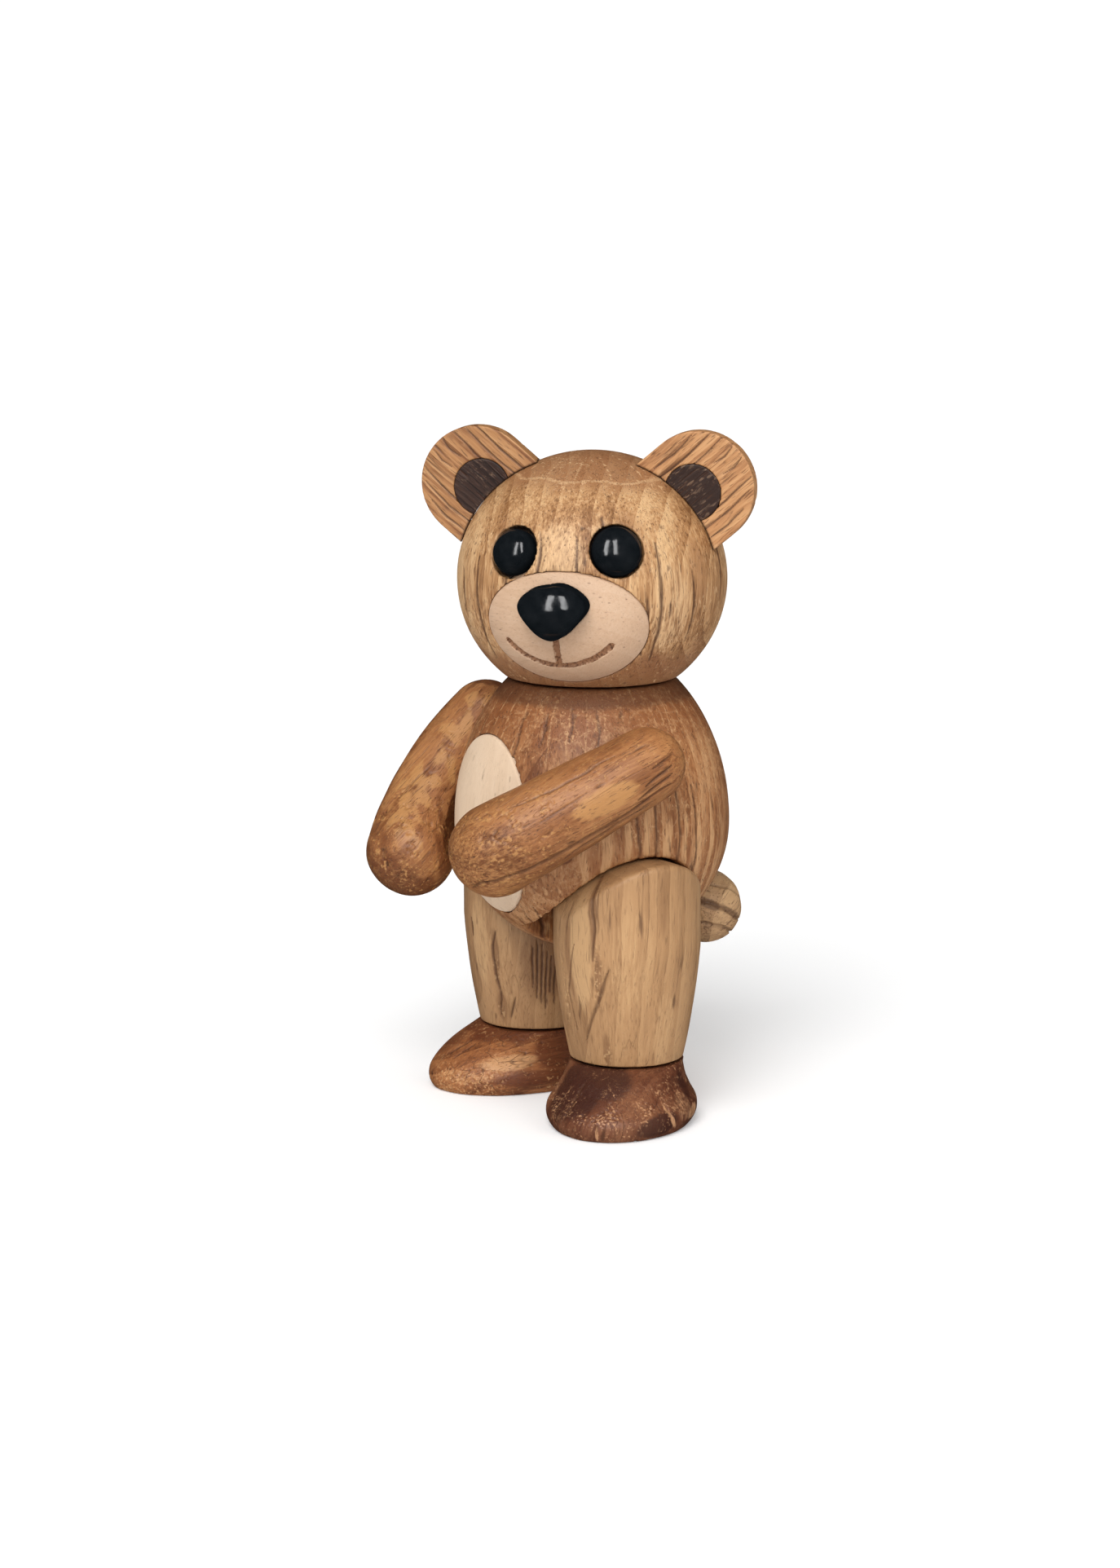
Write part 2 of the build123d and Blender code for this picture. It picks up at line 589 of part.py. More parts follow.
def foot_shape():
    """A foot about its ankle axis, toes towards -Y, sole at Z = 0."""
    rings = [(0.0, SOLE_HALF_WIDTH, SOLE_HALF_LENGTH, TOE_OFFSET),
             (FOOT_WIDEST_HEIGHT, FOOT_HALF_WIDTH, FOOT_HALF_LENGTH, TOE_OFFSET),
             (INSTEP_HEIGHT, INSTEP_HALF_WIDTH, INSTEP_HALF_LENGTH, INSTEP_OFFSET)]
    faces = [Pos(0, -ahead, height) * Ellipse(wide, long) for height, wide, long, ahead in rings]
    faces.append(Pos(0, 0, FOOT_HEIGHT) * Rot(0, 0, 90) * Circle(FOOT_RIM_RADIUS))
    return loft(faces)


def foot_group(side, turn):
    """One foot turned about its ankle, with the bush that the ankle dowel turns in."""
    foot = Pos(hip_x, -HIP_FORWARD, 0) * (Rot(0, 0, turn) * foot_shape())
    foot -= ankle_frame * ankle_pivot.bush_bore()
    pieces = {"foot_" + side: foot, "ankle_bush_" + side: ankle_frame * ankle_pivot.bush()}
    if SIDES[side] < 0:
        pieces = {name: mirrored(piece) for name, piece in pieces.items()}
    return pieces


# ---------------------------------------------------------------- the whole figure
figure = {**body_group(), **head_group()}
for side_name, raised_angle, foot_turn in (("left", ARM_RAISED_LEFT, FOOT_TURN_LEFT),
                                           ("right", ARM_RAISED_RIGHT, FOOT_TURN_RIGHT)):
    figure.update(arm_group(side_name, raised_angle))
    figure.update(leg_group(side_name))
    figure.update(foot_group(side_name, foot_turn))

whole = Compound(children=[Compound(piece.solids()) for piece in figure.values()]).bounding_box()
centre_shift = Vector(-whole.center().X, -whole.center().Y, 0)

os.makedirs("parts", exist_ok=True)
for node, piece in figure.items():
    export_step(Pos(centre_shift) * piece, f"parts/{node}.step")
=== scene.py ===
"""Visual model of a small jointed bear, turned and carved from oak.

Every carved piece starts as a merged copy of its solid node, is given an even skin
of small faces, and is then worked as the maker works it: shallow knife facets, open
pores, drying checks and burnt lines, all cut inwards so that nothing touches what it
What the tools leave is also written on the skin as attributes, so that
the finish darkens a pore or a burn exactly where it is cut. The same attributes
carry painted shade on the neck, the lower head, the ears' seats and the far leg,
and painted highlight and shade on the right arm.
"""

from __future__ import annotations

import json
import logging
import math
from dataclasses import dataclass, field, replace
from enum import Enum

import bmesh
import bpy
import numpy as np
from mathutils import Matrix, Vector, noise

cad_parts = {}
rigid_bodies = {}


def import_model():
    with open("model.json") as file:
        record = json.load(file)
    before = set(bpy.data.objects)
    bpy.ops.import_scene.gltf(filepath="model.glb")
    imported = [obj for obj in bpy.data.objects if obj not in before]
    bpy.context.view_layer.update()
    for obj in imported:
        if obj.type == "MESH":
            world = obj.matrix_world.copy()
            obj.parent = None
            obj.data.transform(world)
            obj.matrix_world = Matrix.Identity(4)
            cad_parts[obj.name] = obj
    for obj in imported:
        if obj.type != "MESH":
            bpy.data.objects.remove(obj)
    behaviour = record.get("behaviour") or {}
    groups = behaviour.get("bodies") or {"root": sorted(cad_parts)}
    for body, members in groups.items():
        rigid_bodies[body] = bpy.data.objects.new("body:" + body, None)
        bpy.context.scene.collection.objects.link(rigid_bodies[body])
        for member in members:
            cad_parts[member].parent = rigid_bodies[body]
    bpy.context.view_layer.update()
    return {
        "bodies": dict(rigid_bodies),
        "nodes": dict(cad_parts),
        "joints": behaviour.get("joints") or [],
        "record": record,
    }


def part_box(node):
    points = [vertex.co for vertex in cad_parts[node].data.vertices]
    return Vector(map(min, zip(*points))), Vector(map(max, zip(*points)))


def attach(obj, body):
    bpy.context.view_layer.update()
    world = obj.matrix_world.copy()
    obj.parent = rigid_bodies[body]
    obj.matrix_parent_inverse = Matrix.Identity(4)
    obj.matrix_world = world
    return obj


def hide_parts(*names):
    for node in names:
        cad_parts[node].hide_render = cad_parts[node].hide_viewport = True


MM = 0.001
LOG = logging.getLogger("jointed_bear")

Triple = tuple[float, float, float]
Colour = Triple
Point = tuple[float, float]
Socket = bpy.types.NodeSocket

UP = Vector((0, 0, 1))
MARKS = ("stain_and_shade", "burn_and_shade", "pale", "deep", "dull")
# The burnt colour marks burnt rims and also paints shade where the ears meet the head; the pore
# colour darkens pores and checks and also paints shade in a ring under the head.
BURNT_AND_SHADE: Colour = (0.016, 0.007, 0.004)
PORE_AND_SHADE_DARK: Colour = (0.075, 0.028, 0.012)
WHITE: Colour = (1.0, 1.0, 1.0)
BLACK: Colour = (0.0, 0.0, 0.0)
UNMOVED: Triple = (0.0, 0.0, 0.0)
MERGE_GAP = 0.001 * MM
EDGE_SHARPNESS = 4.0


class Side(Enum):
    """The bear's own left and right."""

    LEFT = "left"
    RIGHT = "right"

    @property
    def sign(self) -> int:
        """+1 towards +X, where the bear's left is, and -1 towards -X."""
        return 1 if self is Side.LEFT else -1


# ------------------------------------------------------------------ finishes
class Recipe:
    """A material's node tree, with short calls for the nodes that the finishes share."""

    def __init__(self, name: str) -> None:
        """Starts a material with a plain Principled shader.

        Args:
            name: The material's name.
        """
        self.material = bpy.data.materials.new(name)
        self.material.use_nodes = True
        self.tree = self.material.node_tree
        self.shader = self.tree.nodes["Principled BSDF"]

    def feed(self, socket: Socket, value: object) -> None:
        """Links a socket into another, or sets its own value.

        Args:
            socket: The input.
            value: A socket, a colour, a triple or a number.
        """
        if isinstance(value, Socket):
            self.tree.links.new(value, socket)
        elif isinstance(value, tuple) and len(value) == 3 and socket.type == "RGBA":
            socket.default_value = (*value, 1.0)
        else:
            socket.default_value = value

    def coat(self, **inputs: object) -> None:
        """Feeds the shader; each input is named as its socket, with _ for a space."""
        for name, value in inputs.items():
            self.feed(self.shader.inputs[name.replace("_", " ")], value)

    def node(self, kind: str, **inputs: object) -> bpy.types.Node:
        """Adds a node.

        Args:
            kind: Its type, without ShaderNode.
            **inputs: What to feed it, each named as its socket, with _ for a space.

        Returns:
            The node.
        """
        made = self.tree.nodes.new("ShaderNode" + kind)
        for name, value in inputs.items():
            self.feed(made.inputs[name.replace("_", " ")], value)
        return made

    def result(self, kind: str, operation: str, values: tuple[object, ...]) -> Socket:
        """Adds a node that works something out.

        Args:
            kind: The node's type, without ShaderNode.
            operation: What it does.
            values: What goes into it, in order.

        Returns:
            Its result.
        """
        made = self.node(kind)
        made.operation = operation
        for socket, value in zip(made.inputs, values):
            self.feed(socket, value)
        return made.outputs[0]

    def maths(self, operation: str, *values: object) -> Socket:
        """What an operation makes of numbers."""
        return self.result("Math", operation, values)

    def vectors(self, operation: str, *values: object) -> Socket:
        """What an operation makes of places."""
        return self.result("VectorMath", operation, values)

    def times(self, first: object, second: object) -> Socket:
        """One value times another."""
        return self.maths("MULTIPLY", first, second)

    def plus(self, first: object, second: object) -> Socket:
        """One value and another together."""
        return self.maths("ADD", first, second)

    def less(self, first: object, second: object) -> Socket:
        """One value less another."""
        return self.maths("SUBTRACT", first, second)

    def noise(self, place: Socket, scale: float, detail: float = 2.0,
              roughness: float = 0.5, stretch: Triple | None = None,
              distortion: float = 0.0) -> Socket:
        """Adds smooth noise.

        Args:
            place: Where on the piece, in millimetres.
            scale: Features in a millimetre.
            detail: Octaves.
            roughness: How much of each octave the next one keeps.
            stretch: What each axis is multiplied by; less than 1 draws features out.
            distortion: How far the noise is bent by itself.

        Returns:
            Values from 0 to 1.
        """
        if stretch:
            place = self.vectors("MULTIPLY", place, stretch)
        return self.node("TexNoise", Vector=place, Scale=scale, Detail=detail,
                         Roughness=roughness, Distortion=distortion).outputs[0]

    def step(self, value: object, low: float, high: float) -> Socket:
        """Adds a smooth step.

        Args:
            value: What is stepped.
            low: Where it leaves 0.
            high: Where it reaches 1.

        Returns:
            Values from 0 to 1.
        """
        made = self.node("MapRange", Value=value, From_Min=low, From_Max=high)
        made.interpolation_type = "SMOOTHSTEP"
        return made.outputs[0]

    def tones(self, value: object, *stops: tuple[float, Colour]) -> Socket:
        """Looks a colour up between stops.

        Args:
            value: What is looked up.
            *stops: Positions, rising, each with its colour.

        Returns:
            The colour.
        """
        made = self.node("ValToRGB", Fac=value)
        ramp = made.color_ramp
        while len(ramp.elements) < len(stops):
            ramp.elements.new(1.0)
        for element, (position, colour) in zip(ramp.elements, stops):
            element.position = position
            element.color = (*colour, 1.0)
        return made.outputs[0]

    def glaze(self, amount: object, under: object, over: object) -> Socket:
        """Lays one colour over another.

        Args:
            amount: How much of it, from 0 to 1.
            under: The colour below.
            over: The colour laid on.

        Returns:
            The colour seen.
        """
        made = self.node("Mix")
        made.data_type = "RGBA"
        factor, below, above = (next(s for s in made.inputs if s.identifier == name)
                                for name in ("Factor_Float", "A_Color", "B_Color"))
        for socket, value in ((factor, amount), (below, under), (above, over)):
            self.feed(socket, value)
        return next(s for s in made.outputs if s.identifier == "Result_Color")

    def mark(self, name: str) -> Socket:
        """Reads what the tools wrote on the piece.

        Args:
            name: The mark.

        Returns:
            How strong it is, from 0 to 1.
        """
        made = self.node("Attribute")
        made.attribute_name = name
        return made.outputs["Fac"]

    def surface_mm(self, turn: Triple = UNMOVED, pith: Triple = UNMOVED) -> Socket:
        """Finds the place on the piece in millimetres, with the pith moved onto Z.

        Args:
            turn: How far the grain is turned about X, Y and Z, in degrees.
            pith: Where the piece's origin lies from the pith.

        Returns:
            The place.
        """
        place = self.node("TexCoord").outputs["Object"]
        turned = tuple(math.radians(angle) for angle in turn)
        return self.node("Mapping", Vector=place, Location=pith, Rotation=turned,
                         Scale=(1 / MM,) * 3).outputs[0]

    def relief(self, height: Socket, depth: float, strength: float) -> None:
        """Raises the shader's surface.

        Args:
            height: How much, from 0 to 1.
            depth: What 1 stands for, in millimetres.
            strength: How strongly it shows.
        """
        bump = self.node("Bump", Height=height, Strength=strength, Distance=depth * MM)
        self.coat(Normal=bump.outputs[0])


class WoodRecipe(Recipe):
    """An oiled wood's node tree, drawn on the skin as it lay in the straightened tree."""

    def __init__(self, wood: OiledWood) -> None:
        """Finds the place in the tree and the tone of its fibre.

        Args:
            wood: The finish.
        """
        super().__init__(wood.name)
        self.wood = wood
        self.place = self.surface_mm(wood.turn, wood.pith)
        slow = self.vectors("MULTIPLY", self.place, (1.0, 1.0, 0.5))
        bend = self.node("TexNoise", Vector=slow, Scale=0.05, Detail=2.0).outputs[1]
        self.bent = self.vectors("MULTIPLY_ADD", bend, (wood.sway, wood.sway, 0.0), self.place)
        self.fibre = self.noise(self.bent, scale=2.0, detail=5.0, roughness=0.62,
                                stretch=(1.0, 1.0, 0.05))

    def pores(self) -> Socket:
        """Open pores, drawn out along the grain."""
        return self.step(self.noise(self.bent, 4.2, stretch=(1.0, 1.0, 0.09)), 0.58, 0.70)

    def rings(self) -> Socket:
        """Draws yearly rings about Z, pale in spring with a sharp autumn edge.

        Returns:
            How late in its year the wood grew, from 0 to 1.
        """
        # A wave texture repeats every pi/10 of its own units.
        wave = self.node("TexWave", Vector=self.bent, Scale=math.pi / 10 / self.wood.ring_gap,
                         Distortion=0.9, Detail=2.0, Detail_Scale=0.6)
        wave.wave_type = "RINGS"
        wave.rings_direction = "Z"
        wave.wave_profile = "SAW"
        return wave.outputs[1]

    def ground(self) -> Socket:
        """Mixes the wood's colour before its pores, with its pale and deep zones.

        Returns:
            The colour.
        """
        wood = self.wood
        cloud = self.noise(self.bent, wood.cloud_scale, detail=3.0, roughness=0.55,
                           stretch=(1.0, 1.0, 0.4))
        tone = self.times(self.less(0.5, self.rings()), wood.ring_share)
        for value, share in ((self.fibre, wood.fibre_share), (cloud, wood.cloud_share)):
            tone = self.plus(tone, self.times(self.less(value, 0.5), 2 * share))
        colour = self.tones(self.plus(tone, 0.5), (0.12, wood.dark), (0.5, wood.middle),
                            (0.88, wood.light))
        ragged = self.less(self.times(self.fibre, 1.2), 0.6)
        # The deep and pale marks are partly the wood's own zones and partly painted shade and
        # painted highlight.
        for name, tint in (("deep", wood.deep), ("pale", wood.pale)):
            mark = self.mark(name)
            edge = self.times(ragged, self.step(mark, 0.0, 0.35))
            amount = self.step(self.plus(mark, edge), 0.15, 0.85)
            colour = self.glaze(self.times(amount, 0.8), colour, tint)
        return colour

    def flecks(self) -> Socket:
        """Strews shining flecks, in drifts, where rays reach the skin.

        Returns:
            How much of a fleck is there, from 0 to 1.
        """
        grain = self.noise(self.place, self.wood.fleck_scale, detail=3.0, roughness=0.7,
                           stretch=self.wood.fleck_stretch, distortion=0.6)
        drift = self.step(self.noise(self.place, 0.16), 0.42, 0.62)
        return self.times(self.step(grain, 0.56, 0.66), drift)

    def scales(self) -> Socket:
        """Draws pale feathered rims where the saw met the rays, broken up by the fibre.

        Returns:
            How much of a rim is there, from 0 to 1.
        """
        ripple = self.node("TexNoise", Vector=self.bent, Scale=0.5, Detail=3.0).outputs[1]
        shaken = self.vectors("MULTIPLY_ADD", ripple, (3.0, 3.0, 3.0), self.bent)
        cells = self.node("TexVoronoi", Scale=self.wood.scale_size,
                          Vector=self.vectors("MULTIPLY", shaken, (1.0, 1.0, 0.7)))
        cells.feature = "DISTANCE_TO_EDGE"
        rim = self.less(1.0, self.step(cells.outputs["Distance"], 0.01, 0.13))
        worn = self.step(self.noise(self.bent, 1.6, detail=3.0, roughness=0.6), 0.38, 0.6)
        drift = self.step(self.noise(self.bent, 0.12), 0.38, 0.58)
        return self.times(self.times(rim, worn), drift)

    def checks(self) -> Socket:
        """Draws long thin dark lines along the grain, here and there.

        Returns:
            How much of a line is there, from 0 to 1.
        """
        drawn = self.noise(self.bent, 0.42, detail=1.0, roughness=0.4, stretch=(1.0, 1.0, 0.035))
        off_line = self.maths("ABSOLUTE", self.less(drawn, 0.5))
        where = self.step(self.noise(self.bent, 0.2, stretch=(1.0, 1.0, 0.35)), 0.44, 0.6)
        return self.times(self.less(1.0, self.step(off_line, 0.003, 0.016)), where)


@dataclass(frozen=True)
class OiledWood:
    """Bare wood rubbed with oil: rings, fibres, pores, ray flecks and darker and paler zones, some
    of them painted shade and painted highlight.

    Gaps and sizes are in millimetres. A share says how much a feature shows.
    """

    name: str
    dark: Colour
    middle: Colour
    light: Colour
    pale: Colour
    deep: Colour = PORE_AND_SHADE_DARK
    turn: Triple = (0.0, 0.0, 0.0)
    pith: Triple = (9.0, 38.0, 0.0)
    ring_gap: float = 2.6
    ring_share: float = 0.30
    fibre_share: float = 0.45
    cloud_share: float = 0.55
    cloud_scale: float = 0.09
    sway: float = 5.0
    pore_share: float = 0.6
    fleck_share: float = 0.35
    fleck_stretch: Triple = (1.0, 1.0, 0.35)
    fleck_scale: float = 1.1
    check_share: float = 0.6
    scale_share: float = 0.0
    scale_size: float = 0.42
    roughness: float = 0.5
    gloss_range: float = 0.22
    fleck_gloss: float = 0.16
    mirror: float = 0.36
    coat: float = 0.05
    coat_roughness: float = 0.3
    bump: float = 0.55
    bump_depth: float = 0.16

    def material(self) -> bpy.types.Material:
        """Mixes the finish.

        Returns:
            The material.
        """
        mix = WoodRecipe(self)
        pores, flecks, checks = mix.pores(), mix.flecks(), mix.checks()
        shine = mix.times(flecks, self.fleck_share)
        colour = mix.ground()
        for amount, tint in ((mix.times(pores, self.pore_share), PORE_AND_SHADE_DARK),
                             (shine, self.pale),
                             (mix.times(mix.scales(), self.scale_share), self.pale),
                             (mix.times(checks, self.check_share), PORE_AND_SHADE_DARK)):
            colour = mix.glaze(amount, colour, tint)
        grain = mix.noise(mix.place, 7.0, detail=2.0, roughness=0.6)
        # The stain and burn marks darken the wood; in places they are painted shade, at the neck
        # and where the ears meet the head.
        for name, low, high, tint in (("stain_and_shade", 0.0, 0.38, PORE_AND_SHADE_DARK),
                                      ("burn_and_shade", 0.15, 0.42, BURNT_AND_SHADE)):
            amount = mix.times(mix.mark(name), mix.step(grain, low, high))
            colour = mix.glaze(amount, colour, tint)
        gloss = mix.maths("MULTIPLY_ADD", mix.fibre, self.gloss_range,
                          self.roughness - self.gloss_range / 2)
        mix.coat(Base_Color=colour, Roughness=mix.less(gloss, mix.times(shine, self.fleck_gloss)),
                 Specular_IOR_Level=self.mirror, Coat_Weight=self.coat,
                 Coat_Roughness=self.coat_roughness)
        height = mix.less(mix.fibre, mix.times(pores, 0.5))
        height = mix.less(height, mix.times(checks, 0.9))
        mix.relief(mix.plus(height, mix.times(flecks, 0.12)), self.bump_depth, self.bump)
        return mix.material


@dataclass(frozen=True)
class BlackLacquer:
    """Thick black lacquer over a bead, with the slight waves of a brushed coat."""

    name: str = "black_gloss_lacquer"
    colour: Colour = (0.0045, 0.0060, 0.0075)
    worn: Colour = (0.009, 0.011, 0.013)
    polish: float = 0.62
    roughness: float = 0.09
    haze_roughness: float = 0.12

    def material(self) -> bpy.types.Material:
        """Mixes the finish.

        Returns:
            The material.
        """
        mix = Recipe(self.name)
        place = mix.surface_mm()
        haze = mix.noise(place, 0.5, detail=4.0, roughness=0.65)
        hazy = mix.times(mix.step(haze, 0.3, 0.8), self.haze_roughness)
        polished = mix.less(1.0, mix.mark("dull"))
        mix.coat(Base_Color=mix.tones(haze, (0.35, self.colour), (0.75, self.worn)),
                 Roughness=mix.plus(hazy, self.roughness),
                 Specular_IOR_Level=mix.times(polished, self.polish))
        mix.relief(mix.noise(place, 0.6, detail=1.5), depth=0.5, strength=0.10)
        return mix.material


@dataclass(frozen=True)
class BrownNylon:
    """The brown plastic of the friction bushes, faintly mottled and matt."""

    name: str = "brown_nylon"
    dark: Colour = (0.115, 0.050, 0.021)
    light: Colour = (0.175, 0.080, 0.035)
    roughness: float = 0.38
    mottle_roughness: float = 0.2

    def material(self) -> bpy.types.Material:
        """Mixes the finish.

        Returns:
            The material.
        """
        mix = Recipe(self.name)
        place = mix.surface_mm()
        mottle = mix.noise(place, 0.8, detail=4.0, roughness=0.6)
        mix.coat(Base_Color=mix.tones(mottle, (0.3, self.dark), (0.7, self.light)),
                 Roughness=mix.plus(mix.times(mottle, self.mottle_roughness), self.roughness))
        mix.relief(mix.noise(place, 5.0), depth=0.02, strength=0.3)
        return mix.material


HEAD_OAK = OiledWood(
    "head_oak", dark=(0.25, 0.11, 0.0373), middle=(0.456, 0.24, 0.102),
    light=(0.636, 0.394, 0.196), pale=(0.7, 0.449, 0.238), deep=(0.29, 0.119, 0.0481),
    pith=(26.0, 44.0, 0.0), ring_gap=3.4, ring_share=0.34, fibre_share=0.85,
    cloud_share=0.85, fleck_share=0.7, fleck_scale=1.5, pore_share=0.7, check_share=0.12)
BODY_OAK = OiledWood(
    "body_oak", dark=(0.17, 0.0554, 0.0166), middle=(0.34, 0.138, 0.0481),
    light=(0.5, 0.258, 0.112), pale=(0.58, 0.325, 0.149), deep=(0.24, 0.0812, 0.0249),
    pith=(-30.0, 20.0, 0.0), ring_gap=2.9, ring_share=0.30, fibre_share=0.6,
    cloud_share=0.8, fleck_share=0.75, fleck_stretch=(1.0, 1.0, 0.6), fleck_scale=1.5,
    scale_share=0.36, check_share=0.18)
ARM_OAK = OiledWood(
    "arm_oak", dark=(0.156, 0.0504, 0.0146), middle=(0.315, 0.124, 0.0415),
    light=(0.425, 0.188, 0.066), pale=(0.475, 0.232, 0.078), deep=(0.139, 0.0398, 0.0113),
    ring_gap=4.2, ring_share=0.22, fibre_share=0.6, cloud_share=0.8, fleck_share=0.8,
    fleck_scale=1.6, fleck_stretch=(1.2, 1.2, 0.8), scale_share=0.3, check_share=0.3,
    roughness=0.44, coat=0.1)
LEG_OAK = OiledWood(
    "leg_oak", dark=(0.242, 0.119, 0.0479), middle=(0.409, 0.224, 0.1),
    light=(0.512, 0.303, 0.143), pale=(0.539, 0.325, 0.154), deep=(0.223, 0.106, 0.0447),
    pith=(-20.0, 52.0, 0.0), ring_gap=3.8, ring_share=0.22, fibre_share=0.28,
    cloud_share=0.4, fleck_share=0.16, check_share=0.15, pore_share=0.26)
DARK_BURL = OiledWood(
    "dark_burl_foot", dark=(0.055, 0.0134, 0.00664), middle=(0.135, 0.043, 0.0183),
    light=(0.23, 0.0907, 0.0398), pale=(0.5, 0.258, 0.124), deep=(0.042, 0.0124, 0.0083),
    turn=(12.0, 0.0, 20.0), ring_share=0.16, cloud_share=0.75, cloud_scale=0.12,
    fleck_share=0.75, fleck_stretch=(1.0, 1.0, 0.9), fleck_scale=1.5, roughness=0.46)
BROWN_BURL = OiledWood(
    "brown_burl_foot", dark=(0.101, 0.0279, 0.00974), middle=(0.285, 0.102, 0.0328),
    light=(0.46, 0.197, 0.0697), pale=(0.57, 0.304, 0.133), deep=(0.12, 0.0312, 0.0118),
    turn=(90.0, 0.0, 25.0), ring_share=0.24, cloud_share=0.7, cloud_scale=0.10,
    fleck_share=0.65, fleck_stretch=(1.0, 1.0, 0.9), fleck_scale=1.4, roughness=0.46)
EAR_OAK_LEFT = OiledWood(
    "ear_oak", dark=(0.31, 0.128, 0.046), middle=(0.50, 0.245, 0.100),
    light=(0.60, 0.335, 0.152), pale=(0.66, 0.40, 0.20), ring_gap=1.9, ring_share=0.30,
    fibre_share=0.65, fleck_share=0.5, fleck_stretch=(1.0, 1.0, 0.25))
EAR_OAK = {
    Side.LEFT: EAR_OAK_LEFT,
    Side.RIGHT: replace(
        EAR_OAK_LEFT, dark=(0.19, 0.068, 0.022), middle=(0.39, 0.182, 0.068),
        light=(0.49, 0.258, 0.108), pale=(0.56, 0.32, 0.15), ring_gap=1.7, ring_share=0.46),
}
WALNUT = OiledWood(
    "walnut_inlay", dark=(0.0136, 0.00573, 0.00412), middle=(0.0422, 0.0184, 0.0123),
    light=(0.0713, 0.0355, 0.0231), pale=(0.3, 0.181, 0.108), deep=(0.03, 0.0134, 0.00913),
    ring_gap=1.1, ring_share=0.5, fleck_share=0.5,
    fleck_scale=2.2, fleck_stretch=(1.0, 1.0, 0.3))
PALE_MAPLE = OiledWood(
    "pale_maple", dark=(0.464, 0.285, 0.167), middle=(0.571, 0.376, 0.244),
    light=(0.638, 0.46, 0.317), pale=(0.662, 0.49, 0.349), deep=(0.30, 0.125, 0.05),
    turn=(0.0, 90.0, 0.0), ring_gap=3.0, ring_share=0.10, fibre_share=0.28,
    cloud_share=0.25, pore_share=0.18, fleck_share=0.2, check_share=0.0,
    roughness=0.56, coat=0.0, bump=0.35)
BELLY_MAPLE = OiledWood(
    "belly_maple", dark=(0.57, 0.395, 0.256), middle=(0.679, 0.503, 0.349),
    light=(0.731, 0.564, 0.409), pale=(0.76, 0.602, 0.446),
    ring_gap=3.4, ring_share=0.10, fibre_share=0.22, cloud_share=0.25,
    pore_share=0.12, fleck_share=0.2, check_share=0.0, roughness=0.58, coat=0.0, bump=0.3)
TAIL_OAK = OiledWood(
    "tail_oak", dark=(0.179, 0.0909, 0.0418), middle=(0.448, 0.262, 0.125),
    light=(0.594, 0.374, 0.19), pale=(0.65, 0.428, 0.223), deep=(0.168, 0.0909, 0.0465),
    turn=(60.0, 30.0, 0.0), ring_gap=4.0, ring_share=0.25, fleck_share=0.25)
BEECH = OiledWood(
    "beech_dowel", dark=(0.42, 0.26, 0.14), middle=(0.60, 0.42, 0.26),
    light=(0.70, 0.52, 0.34), pale=(0.74, 0.58, 0.40),
    ring_gap=1.6, ring_share=0.2, fibre_share=0.3, fleck_share=0.3, check_share=0.1)


# ------------------------------------------------------------------ tools for carving
@dataclass(frozen=True)
class Check:
    """A drying check or a knife line through spots of a chart. Sizes in millimetres."""

    spots: tuple[Point, ...]
    width: float = 0.45
    depth: float = 0.22
    stain_and_shade: float = 0.9
    wander: float = 0.25


@dataclass(frozen=True)
class Patch:
    """A soft-edged oval round a spot of a chart. Half sizes in millimetres."""

    across: float
    up: float
    half_width: float
    half_height: float
    lean: float = 0.0
    strength: float = 1.0


@dataclass(frozen=True)
class Figure:
    """What is drawn on one block of wood: checks, dark and light patches, and torn grain; some
    dark patches are painted shadow.

    Each torn place is a spot and the half height that it reaches.
    """

    checks: tuple[Check, ...] = ()
    dark: tuple[Patch, ...] = ()
    light: tuple[Patch, ...] = ()
    torn: tuple[Triple, ...] = ()


def drawn_down(rows: tuple[tuple[float, ...], ...], sway: Point, depth: float,
               stain_and_shade: float, wander: float = 0.25) -> tuple[Check, ...]:
    """Draws checks down a piece, each a little bowed.

    Args:
        rows: The azimuth, top, bottom and width of each.
        sway: How far its middle and its bottom are from its top's azimuth, in degrees.
        depth: How deep each one is.
        stain_and_shade: How dark each one is.
        wander: How far each one strays.

    Returns:
        The checks.
    """
    middle_sway, bottom_sway = sway
    return tuple(Check(((azimuth, top), (azimuth + middle_sway, (top + bottom) / 2),
                        (azimuth + bottom_sway, bottom)), width, depth, stain_and_shade, wander)
                 for azimuth, top, bottom, width in rows)


@dataclass(frozen=True)
class UprightChart:
    """The skin unrolled round an upright axis: arc length and height, in millimetres.

    A spot's height is measured from the base.
    """

    axis: Vector
    radius: float
    turn: float = 0.0
    base: float = 0.0

    def at(self, points: np.ndarray) -> np.ndarray:
        """Finds points on the chart.

        Args:
            points: Points in millimetres, one a row.

        Returns:
            Their places on the chart, one a row.
        """
        across, ahead = points[:, 0] - self.axis.x, -(points[:, 1] - self.axis.y)
        azimuth = np.degrees(np.arctan2(across, ahead)) - self.turn
        azimuth = (azimuth + 180) % 360 - 180
        return np.column_stack((np.radians(azimuth) * self.radius, points[:, 2]))

    def spot(self, azimuth: float, height: float) -> Point:
        """The place at an azimuth from the front, in degrees, and a height."""
        return math.radians(azimuth) * self.radius, self.base + height

    def faces(self, normals: np.ndarray) -> np.ndarray:
        """How much of each point's skin belongs to this chart, which is all of it."""
        return np.ones(len(normals))


